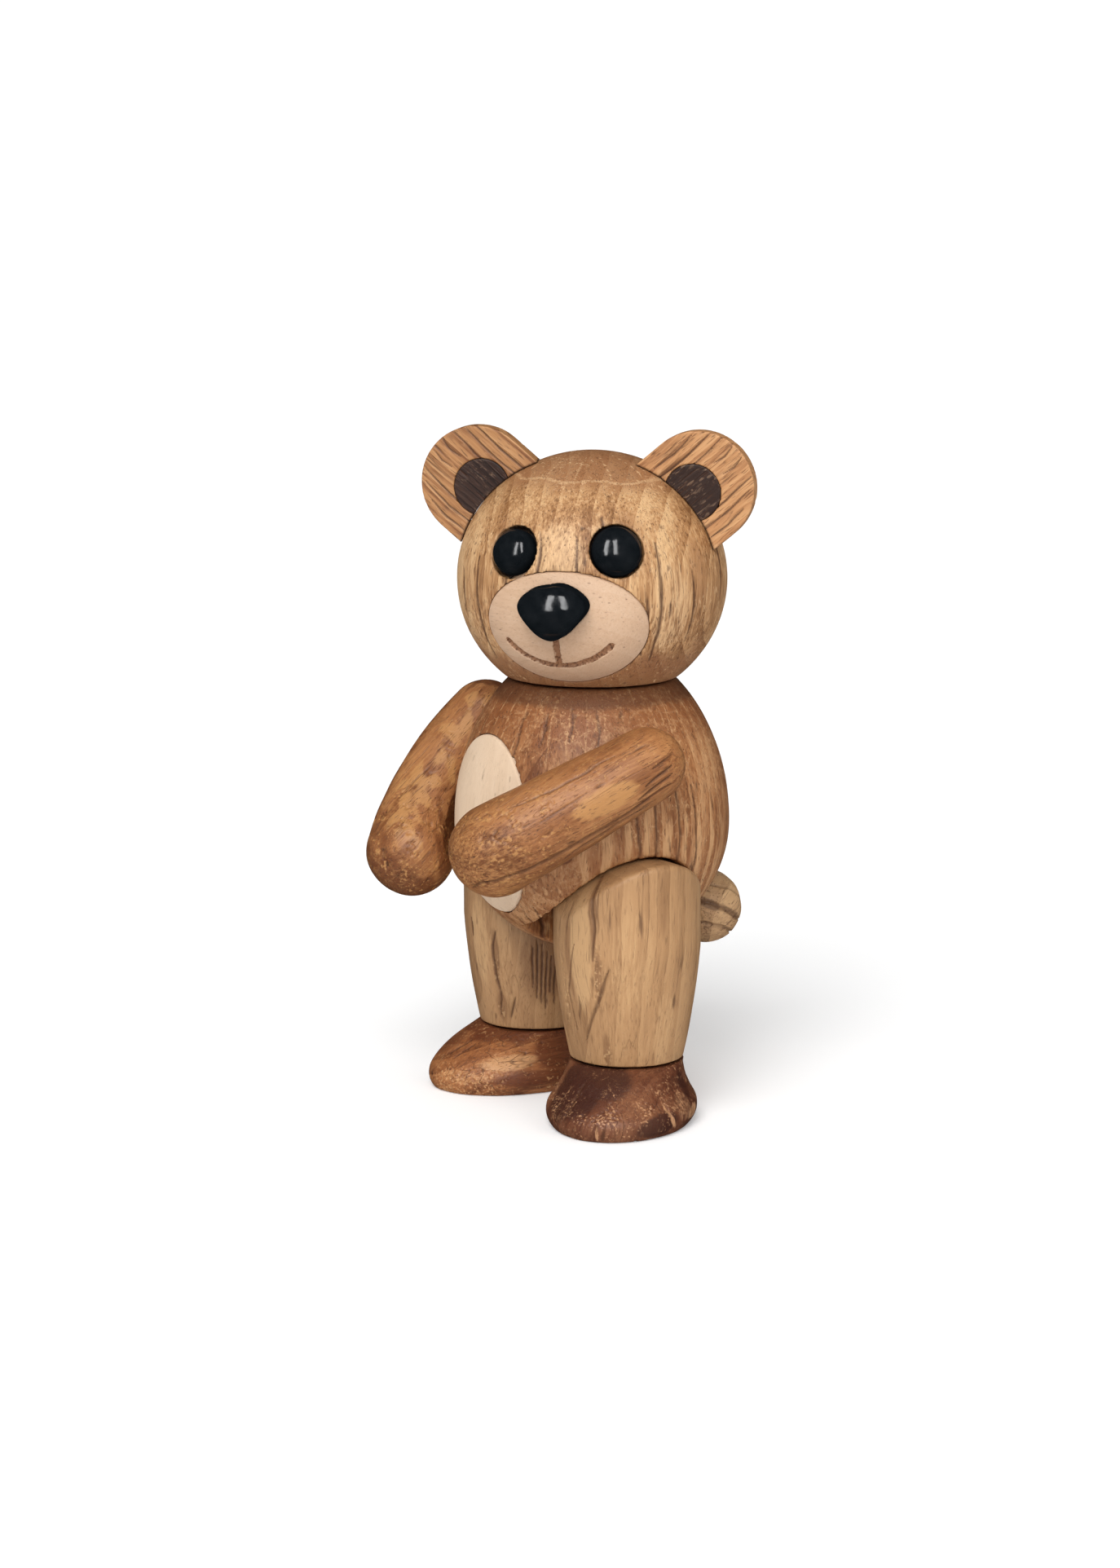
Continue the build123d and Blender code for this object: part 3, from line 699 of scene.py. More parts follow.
@dataclass(frozen=True)
class FlatChart:
    """The skin seen square on, for plates and for one side of an arm."""

    origin: Vector
    u_axis: Vector
    v_axis: Vector
    two_sided: bool = False
    swapped: bool = False

    def at(self, points: np.ndarray) -> np.ndarray:
        """Finds points on the chart.

        Args:
            points: Points in millimetres, one a row.

        Returns:
            Their places on the chart, one a row.
        """
        off = points - np.array(self.origin)
        return np.column_stack((off @ np.array(self.u_axis), off @ np.array(self.v_axis)))

    def spot(self, first: float | np.ndarray, second: float | np.ndarray) -> Point:
        """The place at two distances, in the order of the chart's axes."""
        return (second, first) if self.swapped else (first, second)

    def faces(self, normals: np.ndarray) -> np.ndarray:
        """Finds the skin that faces the chart.

        Args:
            normals: The skin's directions, one a row.

        Returns:
            1 where it faces the chart, fading to 0 round its edge.
        """
        square = normals @ np.array(self.u_axis.cross(self.v_axis))
        if self.two_sided:
            square = np.abs(square)
        return np.clip(square * EDGE_SHARPNESS, 0.0, 1.0)


Chart = UprightChart | FlatChart


def smooth_step(value: np.ndarray, low: float, high: float) -> np.ndarray:
    """Steps smoothly from 0 to 1.

    Args:
        value: What is stepped.
        low: Where the step is 0.
        high: Where it is 1, which may be the lower of the two.

    Returns:
        The step at each value.
    """
    share = np.clip((value - low) / (high - low), 0.0, 1.0)
    return share * share * (3 - 2 * share)


def noise_over(points: np.ndarray, seed: float) -> np.ndarray:
    """Draws smooth noise with one feature per unit.

    Args:
        points: Where, one a row.
        seed: Which part of the noise is used.

    Returns:
        A value from about -1 to 1 for each point.
    """
    away = Vector((seed, 1.7 * seed, 2.3 * seed))
    return np.fromiter((noise.noise(Vector(p) + away) for p in points), float, len(points))


def distance_to_line(places: np.ndarray, line: tuple[Point, ...]
                     ) -> tuple[np.ndarray, np.ndarray]:
    """Measures how far places on a chart are from a line, and how far along it.

    Args:
        places: Chart places, one a row.
        line: The line's points.

    Returns:
        The distances, and the share of the line's length at each nearest point.
    """
    knots = np.array(line, float)
    lengths = np.linalg.norm(np.diff(knots, axis=0), axis=1)
    before = np.concatenate(([0.0], np.cumsum(lengths)))
    nearest = np.full(len(places), np.inf)
    share = np.zeros(len(places))
    for start, end, length, done in zip(knots, knots[1:], lengths, before):
        along = np.clip((places - start) @ (end - start) / length**2, 0.0, 1.0)
        gap = np.linalg.norm(places - (start + along[:, None] * (end - start)), axis=1)
        closer = gap < nearest
        nearest[closer] = gap[closer]
        share[closer] = (done + along[closer] * length) / before[-1]
    return nearest, share


def reach_along(offsets: np.ndarray, way: Vector) -> np.ndarray:
    """How far each offset reaches in a direction."""
    return offsets @ np.array(way)


def even_copy(node: bpy.types.Object, name: str, voxel: float, rubs: int) -> bpy.types.Object:
    """Makes a merged copy of a solid node with an even skin of small faces.

    Args:
        node: The node to copy.
        name: The new piece's name.
        voxel: The size of a face, in millimetres.
        rubs: How many times the skin is rubbed smooth.

    Returns:
        The new piece, linked into the scene, with no modifiers left on it.
    """
    mesh = node.data.copy()
    mesh.materials.clear()
    work = bmesh.new()
    work.from_mesh(mesh)
    bmesh.ops.remove_doubles(work, verts=work.verts, dist=MERGE_GAP)
    work.to_mesh(mesh)
    work.free()
    piece = bpy.data.objects.new(name, mesh)
    bpy.context.scene.collection.objects.link(piece)
    remesh = piece.modifiers.new("even_skin", "REMESH")
    remesh.mode = "VOXEL"
    remesh.voxel_size = voxel * MM
    bpy.context.view_layer.update()
    skin = bpy.data.meshes.new_from_object(
        piece.evaluated_get(bpy.context.evaluated_depsgraph_get()))
    piece.modifiers.clear()
    piece.data = skin
    bpy.data.meshes.remove(mesh)
    work = bmesh.new()
    work.from_mesh(skin)
    for _ in range(rubs):
        bmesh.ops.smooth_vert(work, verts=work.verts, factor=0.5,
                              use_axis_x=True, use_axis_y=True, use_axis_z=True)
    for face in work.faces:
        face.smooth = True
    work.to_mesh(skin)
    work.free()
    return piece


@dataclass
class Bench:
    """One piece under the tools: what is cut from its skin and what is marked on it."""

    piece: bpy.types.Object
    deepest: float = 0.28
    points: np.ndarray = field(init=False)
    normals: np.ndarray = field(init=False)
    depth: np.ndarray = field(init=False)
    marks: dict[str, np.ndarray] = field(init=False)

    def __post_init__(self) -> None:
        """Reads the skin in millimetres."""
        mesh = self.piece.data
        count = len(mesh.vertices)
        flat = np.empty(count * 3)
        mesh.vertices.foreach_get("co", flat)
        self.points = flat.reshape(-1, 3) / MM
        mesh.vertices.foreach_get("normal", flat)
        self.normals = flat.reshape(-1, 3).copy()
        self.depth = np.zeros(count)
        self.marks = {name: np.zeros(count) for name in MARKS}

    def noise(self, size: float, seed: float) -> np.ndarray:
        """Smooth noise over the skin, with features of that size in millimetres."""
        return noise_over(self.points / size, seed)

    def facets(self, size: float, depth: float, seed: float) -> None:
        """Cuts the shallow flats, of about that size, that a knife or a belt leaves."""
        self.depth += depth * (0.5 + 0.5 * self.noise(size, seed))

    def pores(self, grain: Vector, width: float, length: float, depth: float,
              share: float, seed: float) -> None:
        """Cuts open pores and torn grain along the grain.

        Args:
            grain: The grain's direction.
            width: A pore's width.
            length: A pore's length.
            depth: How deep the deepest ones are.
            share: From 0 for none to 1 for pores all over.
            seed: Where in the noise this piece lies.
        """
        way = np.array(grain.normalized())
        along = self.points @ way
        across = self.points - along[:, None] * way
        place = across / width + along[:, None] * way / length
        least = 0.62 * (1 - share)
        cut = smooth_step(noise_over(place, seed), least, least + 0.33)
        self.depth += depth * cut
        self.mark("stain_and_shade", 0.75 * cut)

    def torn(self, size: float, depth: float, where: np.ndarray, seed: float) -> None:
        """Cuts small pits where the grain tore out, and marks their shining walls.

        Args:
            size: A pit's size.
            depth: How deep the deepest ones are.
            where: How torn each point is, from 0 to 1.
            seed: Where in the noise this piece lies.
        """
        self.depth += depth * smooth_step(self.noise(size, seed), 0.05, 0.45) * where
        self.zone("pale", 0.85, self.noise(0.7 * size, seed + 5), 0.0, 0.4, where)

    def checks(self, chart: Chart, lines: tuple[Check, ...], seed: float) -> None:
        """Cuts lines that thin out at both ends and wander a little.

        Args:
            chart: The chart that they are drawn on.
            lines: The lines.
            seed: Where in the noise this piece lies.
        """
        places = chart.at(self.points)
        open_to = chart.faces(self.normals)
        drift = self.noise(4.0, seed)[:, None] * np.array((1.0, 0.6))
        ragged = self.noise(1.8, seed + 3)
        for line in lines:
            knots = tuple(chart.spot(*spot) for spot in line.spots)
            gap, share = distance_to_line(places + line.wander * drift, knots)
            thin = np.sqrt(np.clip(4 * share * (1 - share), 0.02, 1.0))
            half = np.maximum(0.5 * line.width * thin * (1 + 0.35 * ragged), 0.05)
            self.depth += line.depth * np.sqrt(np.clip(1 - gap / half, 0.0, 1.0) * open_to)
            self.mark("stain_and_shade", line.stain_and_shade * np.clip(1.35 - gap / half, 0.0, 1.0) * open_to)

    def patches(self, chart: Chart, name: str, spots: tuple[Patch, ...]) -> None:
        """Marks soft-edged ovals.

        Args:
            chart: The chart that they are drawn on.
            name: The mark.
            spots: The ovals.
        """
        places = chart.at(self.points)
        open_to = chart.faces(self.normals)
        for spot in spots:
            across, up = (places - np.array(chart.spot(spot.across, spot.up))).T
            lean = math.radians(spot.lean)
            gap = np.hypot((across * math.cos(lean) + up * math.sin(lean)) / spot.half_width,
                           (up * math.cos(lean) - across * math.sin(lean)) / spot.half_height)
            self.zone(name, spot.strength, gap, 1.15, 0.55, open_to)

    def draw(self, chart: Chart, figure: Figure, seed: float) -> None:
        """Gives the piece its own figure.

        Args:
            chart: The chart that it is drawn on.
            figure: The checks, the patches and the torn places.
            seed: Where in the noise this piece lies.
        """
        self.checks(chart, figure.checks, seed)
        self.patches(chart, "deep", figure.dark)
        self.patches(chart, "pale", figure.light)
        places = chart.at(self.points)
        for azimuth, height, reach in figure.torn:
            across, up = (places - np.array(chart.spot(azimuth, height))).T
            gap = np.hypot(across / 1.1, up / reach)
            self.torn(size=0.7, depth=0.14, where=smooth_step(gap, 1.2, 0.4), seed=seed + 1)

    def mark(self, name: str, amount: np.ndarray) -> None:
        """Adds to a mark, keeping the stronger of the two."""
        self.marks[name] = np.maximum(self.marks[name], np.clip(amount, 0.0, 1.0))

    def zone(self, name: str, strength: float, value: np.ndarray, low: float, high: float,
             within: np.ndarray | float = 1.0) -> None:
        """Marks the skin where a value has passed from one bound to another.

        Args:
            name: The mark.
            strength: How strong it is there.
            value: The value at each point.
            low: Where the mark starts.
            high: Where it is full, which may be the lower of the two.
            within: How much of it each point takes.
        """
        self.mark(name, strength * smooth_step(value, low, high) * within)

    def put_down(self) -> bpy.types.Object:
        """Takes what was cut off the skin and writes the marks on it.

        Returns:
            The finished piece.
        """
        mesh = self.piece.data
        cut = np.minimum(self.depth, self.deepest)
        moved = (self.points - cut[:, None] * self.normals) * MM
        mesh.vertices.foreach_set("co", moved.ravel())
        for name, amount in self.marks.items():
            layer = mesh.attributes.new(name, "FLOAT", "POINT")
            layer.data.foreach_set("value", amount.astype(np.float32))
        mesh.update()
        return self.piece


class Workshop:
    """The frame that the pieces fit, and the making of a piece for it."""

    def __init__(self, frame: dict) -> None:
        """Keeps the frame's nodes and joints, and what the record says of each node.

        Args:
            frame: The frame as loaded.
        """
        self.nodes = frame["nodes"]
        self.joints = {joint["name"]: joint for joint in frame["joints"]}
        self.slots = {part["node"]: part["material_slot"] for part in frame["record"]["subparts"]}
        self.bodies = frame["record"]["behaviour"]["bodies"]

    def body_of(self, node: str) -> str:
        """The body that a node belongs to."""
        return next(body for body, members in self.bodies.items() if node in members)

    def pivot(self, joint: str) -> Vector:
        """Where a joint is, in millimetres."""
        return Vector(self.joints[joint]["pos_m"]) / MM

    def axis(self, joint: str) -> Vector:
        """The direction of a joint's axis."""
        return Vector(self.joints[joint]["axis"]).normalized()

    def middle(self, node: str) -> Vector:
        """The middle of a node's box, in millimetres."""
        low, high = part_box(node)
        return (low + high) / (2 * MM)

    def bench(self, node: str, voxel: float, rubs: int, deepest: float = 0.28,
              finish: str = "carved") -> Bench:
        """Puts an even copy of a node under the tools.

        Args:
            node: The node.
            voxel: The size of a face of the copy's skin, in millimetres.
            rubs: How many times the skin is rubbed smooth.
            deepest: The most that may be cut off, in millimetres.
            finish: The end of the new piece's name.

        Returns:
            The bench with the copy on it.
        """
        return Bench(even_copy(self.nodes[node], f"{node}_{finish}", voxel, rubs), deepest)

    def fit(self, bench: Bench, node: str, finish: bpy.types.Material) -> None:
        """Takes a piece off the bench, dresses it and puts it in its node's stead.

        Args:
            bench: The bench with the piece.
            node: The node.
            finish: The piece's material.
        """
        piece = bench.put_down()
        piece.data.materials.clear()
        piece.data.materials.append(finish)
        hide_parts(node)
        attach(piece, self.body_of(node))
        LOG.info("%s: %d faces on %s", piece.name, len(piece.data.polygons), self.body_of(node))

    def cut_along(self, finish: OiledWood, grain: Vector, name: str) -> bpy.types.Material:
        """Mixes the finish of a piece sawn so that its grain runs one way.

        Args:
            finish: The wood.
            grain: The grain's direction.
            name: The material's name.

        Returns:
            The material.
        """
        to_upright = grain.rotation_difference(UP).to_euler()
        turn = tuple(math.degrees(angle) for angle in to_upright)
        return replace(finish, name=name, turn=turn).material()

    def dress(self, node: str, finish: bpy.types.Material) -> None:
        """Gives a node that stays as it is its finish.

        Args:
            node: The node.
            finish: Its material.
        """
        mesh = self.nodes[node].data
        mesh.materials.clear()
        mesh.materials.append(finish)


# ------------------------------------------------------------------ what each block shows
# A spot on an upright chart is an azimuth in degrees and a height, and on a flat chart
# two distances. Checks that run down a piece are an azimuth, a top, a bottom and a width.
HEAD_FIGURE = Figure(
    checks=drawn_down((
        (-27, 9.5, -9, 0.68), (-11.5, 10.5, 2.5, 0.64), (5.5, 10, -2, 0.60), (17, 13, 8.5, 0.58),
        (42, 8.5, -13, 0.72), (36, 1, -11, 0.62), (60, 3.5, -9, 0.64), (-45, 6, -13, 0.68),
        (-58, 3, -6, 0.64), (83, 10, -3, 0.68), (118, 6, -11, 0.70), (150, 9, -2, 0.68),
        (-96, 7, -9, 0.68), (-140, 4, -12, 0.70)),
        sway=(1.2, 0.3), depth=0.14, stain_and_shade=0.9, wander=0.3),
    dark=(Patch(64, 3, 3.0, 8, 0, 0.4), Patch(-33, 8, 3.4, 6, 12, 0.38),
          Patch(31, 11, 4.2, 4, -15, 0.34)),
    light=(Patch(48, -2, 5.5, 10, 0, 0.5), Patch(-3, 6, 6.5, 7.5, 0, 0.62),
           Patch(18, 8.5, 3.2, 5, 0, 0.45), Patch(-20, -8, 4.5, 7, 0, 0.4)))
BODY_FIGURE = Figure(checks=drawn_down((
    (78, 57, 41, 0.52), (86, 64, 39, 0.48), (97, 66, 36, 0.56), (107, 60, 36, 0.50),
    (20, 71, 62, 0.50), (34, 72, 66, 0.54), (48, 72.5, 67, 0.52), (62, 72.5, 66, 0.52),
    (-12, 70, 61, 0.50), (24, 58, 50, 0.48), (36, 61, 55, 0.44), (150, 66, 44, 0.54),
    (180, 62, 47, 0.50), (-160, 68, 50, 0.52), (-120, 64, 42, 0.54), (-90, 62, 40, 0.50),
    (22, 37, 31, 0.56), (30, 38, 32, 0.50), (14, 35, 29.5, 0.52)),
    sway=(1.5, 0.0), depth=0.16, stain_and_shade=0.85))
# An ear's checks: how far aside each lies, where it starts and ends, and its width.
EAR_FIGURE = Figure(checks=tuple(
    Check(((start, aside), ((start + end) / 2, aside + 0.3), (end, aside - 0.2)),
          width, 0.22, 0.85)
    for aside, start, end, width in (
        (-7.5, 22, 31, 0.34), (-5.8, 20, 34, 0.40), (-3.9, 22, 35, 0.30), (-1.6, 30.8, 35.4, 0.34),
        (0.9, 31, 35.2, 0.30), (4.4, 22, 34.5, 0.40), (6.1, 21, 33, 0.34), (7.9, 22, 30, 0.38))))
TAIL_FIGURE = Figure(
    checks=(Check(((-5, 2.6), (0, 1.0), (5.5, -2.6)), 1.1, 0.42, 0.42, 0.5),
            Check(((-6, -1.4), (-1, -2.6), (4.5, -5.0)), 0.9, 0.36, 0.38, 0.5),
            Check(((-3, 5.0), (2, 4.2), (5.5, 1.5)), 0.7, 0.3, 0.3, 0.4)),
    dark=(Patch(-3, 1.8, 3.6, 1.1, -25, 0.8), Patch(2, -0.4, 4.0, 0.8, -30, 0.6)))
# An arm's spots lie along it from the shoulder, and below it.
ARM_FIGURE = Figure(checks=(
    Check(((37, 2.6), (31, 4.6), (25.7, 5.6), (16, 5.9), (6.4, 5.6), (-2.6, 4.6)),
          0.75, 0.28, 0.62, 0.4),
    Check(((19, 6.9), (10, 6.4), (1, 6.0)), 0.5, 0.22, 0.55, 0.3),
    Check(((-4, 1.9), (2.4, 3.0)), 0.55, 0.28, 0.95),
    Check(((-3.2, 3.3), (4.2, 4.4)), 0.5, 0.26, 0.9),
    Check(((-5, 0.2), (0.2, 0.9)), 0.4, 0.2, 0.8),
    Check(((4, -4.4), (14, -4.2), (24, -5.2)), 0.4, 0.18, 0.55, 0.5),
    Check(((12, -1.0), (21, -0.6)), 0.35, 0.15, 0.5, 0.4)))
LEG_FIGURE = {
    Side.LEFT: Figure(
        checks=(Check(((45, 28.7), (34, 22), (18, 15.2)), 0.75, 0.28, 0.62, 0.3),
                Check(((31, 44), (33, 36), (32, 30)), 0.6, 0.2, 0.6),
                Check(((36, 43), (36, 35)), 0.4, 0.15, 0.5),
                Check(((14, 33), (4, 24), (8, 17)), 0.45, 0.2, 0.6, 0.5),
                Check(((8, 40), (4, 34)), 0.4, 0.15, 0.55),
                Check(((150, 38), (152, 20)), 0.45, 0.18, 0.5),
                Check(((-150, 34), (-148, 16)), 0.45, 0.18, 0.5)),
        dark=(Patch(31.5, 38, 0.9, 9.5, 0, 0.9), Patch(36, 27, 0.8, 6, 0, 0.7),
              Patch(40, 14, 0.9, 4, 0, 0.7), Patch(8, 30, 1.3, 9, 5, 0.6),
              Patch(88, 40, 1.0, 7, 0, 0.45), Patch(104, 26, 1.2, 9, 0, 0.4),
              Patch(76, 18, 0.7, 6, 0, 0.35), Patch(170, 28, 1.4, 12, 0, 0.5)),
        light=(Patch(20, 32, 2.6, 13, 0, 0.95), Patch(62, 30, 5, 12, 0, 0.4),
               Patch(95, 18, 3, 8, 0, 0.45)),
        torn=((36, 27.0, 8.0), (41, 12.8, 3.0), (-2, 22.0, 9.0))),
    Side.RIGHT: Figure(
        checks=(Check(((25, 29), (22, 24), (27, 19), (25, 13)), 0.6, 0.28, 0.75, 0.6),
                *(Check(((azimuth, top), (azimuth + 0.6, bottom)), 0.42, 0.24, 0.85)
                  for azimuth, top, bottom in ((58, 27, 19), (62, 28, 17), (66, 27, 16),
                                               (70, 26, 15), (74, 25, 18), (78, 24, 16))),
                Check(((-3, 31), (-2, 27)), 0.55, 0.24, 0.9),
                Check(((42, 17), (36, 12.8)), 0.55, 0.26, 0.8),
                Check(((-60, 36), (-58, 18)), 0.45, 0.18, 0.5),
                Check(((-140, 34), (-142, 16)), 0.45, 0.18, 0.5)),
        # The dark patches at azimuths 68 and 50 are painted shadow cast by the body on the upper
        # leg.
        dark=(Patch(25, 24, 1.0, 7, 0, 0.75), Patch(27, 15, 1.5, 3.5, 0, 0.7),
              Patch(68, 24, 5.5, 10, 0, 0.62), Patch(50, 30, 3.0, 7, 0, 0.42),
              Patch(-120, 26, 1.4, 11, 0, 0.4)),
        light=(Patch(8, 27, 2.6, 10, 0, 0.7), Patch(36, 22, 1.4, 9, 0, 0.4)),
        torn=((25, 22.0, 4.0), (26, 14.5, 2.6))),
}
FOOT_FIGURE = {
    Side.LEFT: Figure(
        checks=(Check(((84, 6.5), (90, 0.8)), 0.6, 0.26, 0.0, 0.4),
                Check(((44, 3.4), (43, 0.3)), 0.4, 0.18, 0.3),
                Check(((98, 8), (104, 4)), 0.4, 0.18, 0.5),
                *(Check(spots, 0.45, 0.2, 0.7)
                  for spots in (((28, 9.5), (25, 3)), ((-90, 8), (-95, 2)),
                                ((170, 8), (165, 3))))),
        dark=(Patch(20, 8, 5.5, 6, 0, 1.0), Patch(46, 9.2, 4.5, 2.6, 0, 0.8),
              Patch(78, 2.5, 3.6, 2.2, 20, 0.9), Patch(118, 7.2, 2.0, 3.0, 0, 0.6),
              Patch(-60, 5, 5, 4, 0, 0.7), Patch(-150, 5, 6, 4, 0, 0.7)),
        light=(Patch(87, 3.6, 0.35, 3.0, 18, 0.9), Patch(45, 1.8, 0.22, 1.6, 0, 0.8),
               Patch(104, 4.4, 2.8, 3.2, 0, 0.42), Patch(118, 2.6, 2.8, 1.5, 10, 0.75))),
    Side.RIGHT: Figure(
        checks=(Check(((8, 9.0), (0, 6.2)), 0.5, 0.24, 0.8),
                Check(((14, 8.6), (8, 6.0)), 0.4, 0.2, 0.7),
                Check(((-4, 3.0), (-5, 2.3)), 0.8, 0.28, 1.0, 0.1),
                Check(((-90, 8), (-95, 2)), 0.45, 0.2, 0.7)),
        dark=(Patch(64, 3.2, 7, 1.6, 4, 0.9), Patch(80, 7.5, 5, 4, 0, 0.95),
              Patch(-14, 7.4, 4, 2.4, 30, 0.6), Patch(-100, 5, 6, 4, 0, 0.6)),
        light=(Patch(44, 6.0, 4.5, 1.5, 6, 0.8), Patch(20, 3.4, 4.0, 1.4, 0, 0.4))),
}


# ------------------------------------------------------------------ the bear's parts
@dataclass
class Head:
    """The head with its face and ears, turned to the bear's left. Sizes in millimetres."""

    shop: Workshop
    turn: float = 46.7
    radius: float = 23.75
    half_height: float = 22.4
    socket_radius: float = 4.65
    splinter_reach: float = 0.30
    muzzle_drop: float = 6.9
    smile_middle: float = -0.8
    smile_half_width: float = 9.2
    smile_corner_drop: float = 1.9
    smile_bottom_drop: float = 5.7
    smile_knots: int = 15
    philtrum: float = -0.9
    burn_width: float = 0.52
    burn_depth: float = 0.12
    ear_angle: float = 40.3
    crown_height: float = 18.4
    crown_rays: float = 6.5
    skin: float = 0.356
    middle: Vector = field(init=False)
    left: Vector = field(init=False)
    front: Vector = field(init=False)
    chart: UprightChart = field(init=False)

    def __post_init__(self) -> None:
        """Finds the head's middle and the ways that it faces."""
        neck, (_, high) = self.shop.pivot("head_turn"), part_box("head")
        self.middle = Vector((neck.x, neck.y, high.z / MM - self.half_height))
        heading = math.radians(self.turn)
        self.left = Vector((math.cos(heading), math.sin(heading), 0))
        self.front = Vector((math.sin(heading), -math.cos(heading), 0))
        self.chart = UprightChart(self.middle, self.radius, self.turn, self.middle.z)

    def build(self) -> None:
        """Makes every visible piece of the head."""
        self._skull()
        self._muzzle()
        lacquer = BlackLacquer().material()
        self._bead("nose", self.shop.middle("nose") - self.shop.middle("muzzle"), lacquer)
        for side in Side:
            eye = "eye_" + side.value
            self._bead(eye, self.shop.middle(eye) - self.middle, lacquer)
            self._ear(side)
            self._inlay(side)

    def _bead(self, node: str, outward: Vector, lacquer: bpy.types.Material) -> None:
        """Makes a lacquered bead, polished on its dome and left dull on its side wall.

        Args:
            node: The node.
            outward: Where its dome faces.
            lacquer: Its finish.
        """
        bench = self.shop.bench(node, voxel=0.13, rubs=7, finish="lacquered")
        bench.zone("dull", 1.0, reach_along(bench.normals, outward.normalized()), 0.70, 0.52)
        self.shop.fit(bench, node, lacquer)

    def _skull(self) -> None:
        """Turns the head: checks down the face, a reddish crown, painted shade low on the head and
        burnt sockets.
        """
        bench = self.shop.bench("head", self.skin, rubs=1)
        bench.facets(size=9.0, depth=0.10, seed=1.0)
        bench.pores(UP, width=0.75, length=6.0, depth=0.09, share=0.20, seed=2.0)
        bench.draw(self.chart, HEAD_FIGURE, seed=4.0)
        height = bench.points[:, 2] - self.middle.z
        wave = bench.noise(6.0, seed=6.0)
        bench.zone("deep", 0.7, height + 1.2 * wave, 14.5, 19.5)
        # Painted shade: darker towards the bottom of the head, which turns away from the light
        # over the body.
        bench.zone("deep", 0.75, height + 3.0 * wave, -7.0, -14.0)
        azimuth = self.chart.at(bench.points)[:, 0] / self.radius
        rays = smooth_step(np.abs(np.sin(self.crown_rays * azimuth + 0.35 * wave)), 0.12, 0.0)
        bench.zone("pale", 0.75, height, 17.6, 19.2, rays)
        off_ring = np.abs(height - self.crown_height + 0.7 * wave)
        bench.zone("pale", 0.5, off_ring, 0.32, 0.1)
        for side in Side:
            self._burn_socket(bench, side)
        self.shop.fit(bench, "head", HEAD_OAK.material())

    def _burn_socket(self, bench: Bench, side: Side) -> None:
        """Burns the rim of an eye's socket and leaves it splintered.

        Args:
            bench: The bench with the head.
            side: Which eye's.
        """
        eye = self.shop.middle("eye_" + side.value)
        out = (eye - self.middle).normalized()
        off = bench.points - np.array(eye)
        along = reach_along(off, out)
        gap = np.linalg.norm(off - along[:, None] * np.array(out), axis=1)
        ragged = gap + 0.22 * bench.noise(0.55, seed=8.0 + side.sign)
        splintered = (reach_along(off, self.left) < -2.5) * (side is Side.RIGHT)
        reach = 0.08 + self.splinter_reach * splintered
        bench.zone("burn_and_shade", 1.0, ragged, self.socket_radius + reach, self.socket_radius - 0.15,
                   along > -4.0)

    def _muzzle(self) -> None:
        """Makes the pale muzzle and burns its mouth."""
        bench = self.shop.bench("muzzle", voxel=0.16, rubs=1, deepest=0.2)
        bench.facets(size=6.0, depth=0.07, seed=11.0)
        bench.pores(self.left, width=0.35, length=2.4, depth=0.05, share=0.16, seed=12.0)
        reach = self.radius * math.sqrt(1 - (self.muzzle_drop / self.half_height) ** 2)
        slope = math.atan2(self.muzzle_drop / self.half_height**2, reach / self.radius**2)
        up = (UP * math.cos(slope) + self.front * math.sin(slope)).normalized()
        chart = FlatChart(self.middle + self.front * reach - UP * self.muzzle_drop, self.left, up)
        places, open_to = chart.at(bench.points), chart.faces(bench.normals)
        ragged = bench.noise(0.32, seed=13.0)
        width = self.burn_width + 0.20 * ragged + 0.14 * bench.noise(0.8, seed=15.0)
        foot = (self.philtrum + 0.1, -self.smile_bottom_drop)
        for line in (self._smile(), ((self.philtrum, 0.0), foot)):
            gap, _ = distance_to_line(places, line)
            burnt = smooth_step(gap / width, 1.2, 0.7) * open_to
            bench.mark("deep", burnt)
            bench.zone("stain_and_shade", 0.8, ragged, 0.0, 0.5, burnt)
            bench.depth += self.burn_depth * burnt
        self.shop.fit(bench, "muzzle", PALE_MAPLE.material())

    def _smile(self) -> tuple[Point, ...]:
        """Bows the mouth through its two corners and its lowest point.

        Returns:
            Its points on the muzzle's chart.
        """
        rise = self.smile_bottom_drop - self.smile_corner_drop
        bow = (self.smile_half_width**2 + rise**2) / (2 * rise)
        spread = math.asin(self.smile_half_width / bow)
        return tuple((self.smile_middle + bow * math.sin(angle),
                      bow - self.smile_bottom_drop - bow * math.cos(angle))
                     for angle in np.linspace(-spread, spread, self.smile_knots))

    def _ear_ways(self, side: Side) -> tuple[Vector, Vector]:
        """Finds how an ear stands.

        Args:
            side: Which ear.

        Returns:
            The way it points, and the way across it.
        """
        angle = math.radians(self.ear_angle)
        outward = self.left * (side.sign * math.cos(angle)) + UP * math.sin(angle)
        return outward, self.front.cross(outward).normalized()

    def _ear(self, side: Side) -> None:
        """Makes an ear plate with open grain that runs outwards, with painted shade along its edge
        where it meets the head.

        Args:
            side: Which ear.
        """
        node, (outward, across) = "ear_" + side.value, self._ear_ways(side)
        bench = self.shop.bench(node, voxel=0.2, rubs=2, deepest=0.3)
        bench.facets(size=5.0, depth=0.07, seed=20.0 + side.sign)
        bench.pores(outward, width=0.55, length=7.0, depth=0.20, share=0.30,
                    seed=22.0 + side.sign)
        chart = FlatChart(self.middle, outward, across * -side.sign, two_sided=True)
        bench.draw(chart, EAR_FIGURE, seed=24.0 + side.sign)
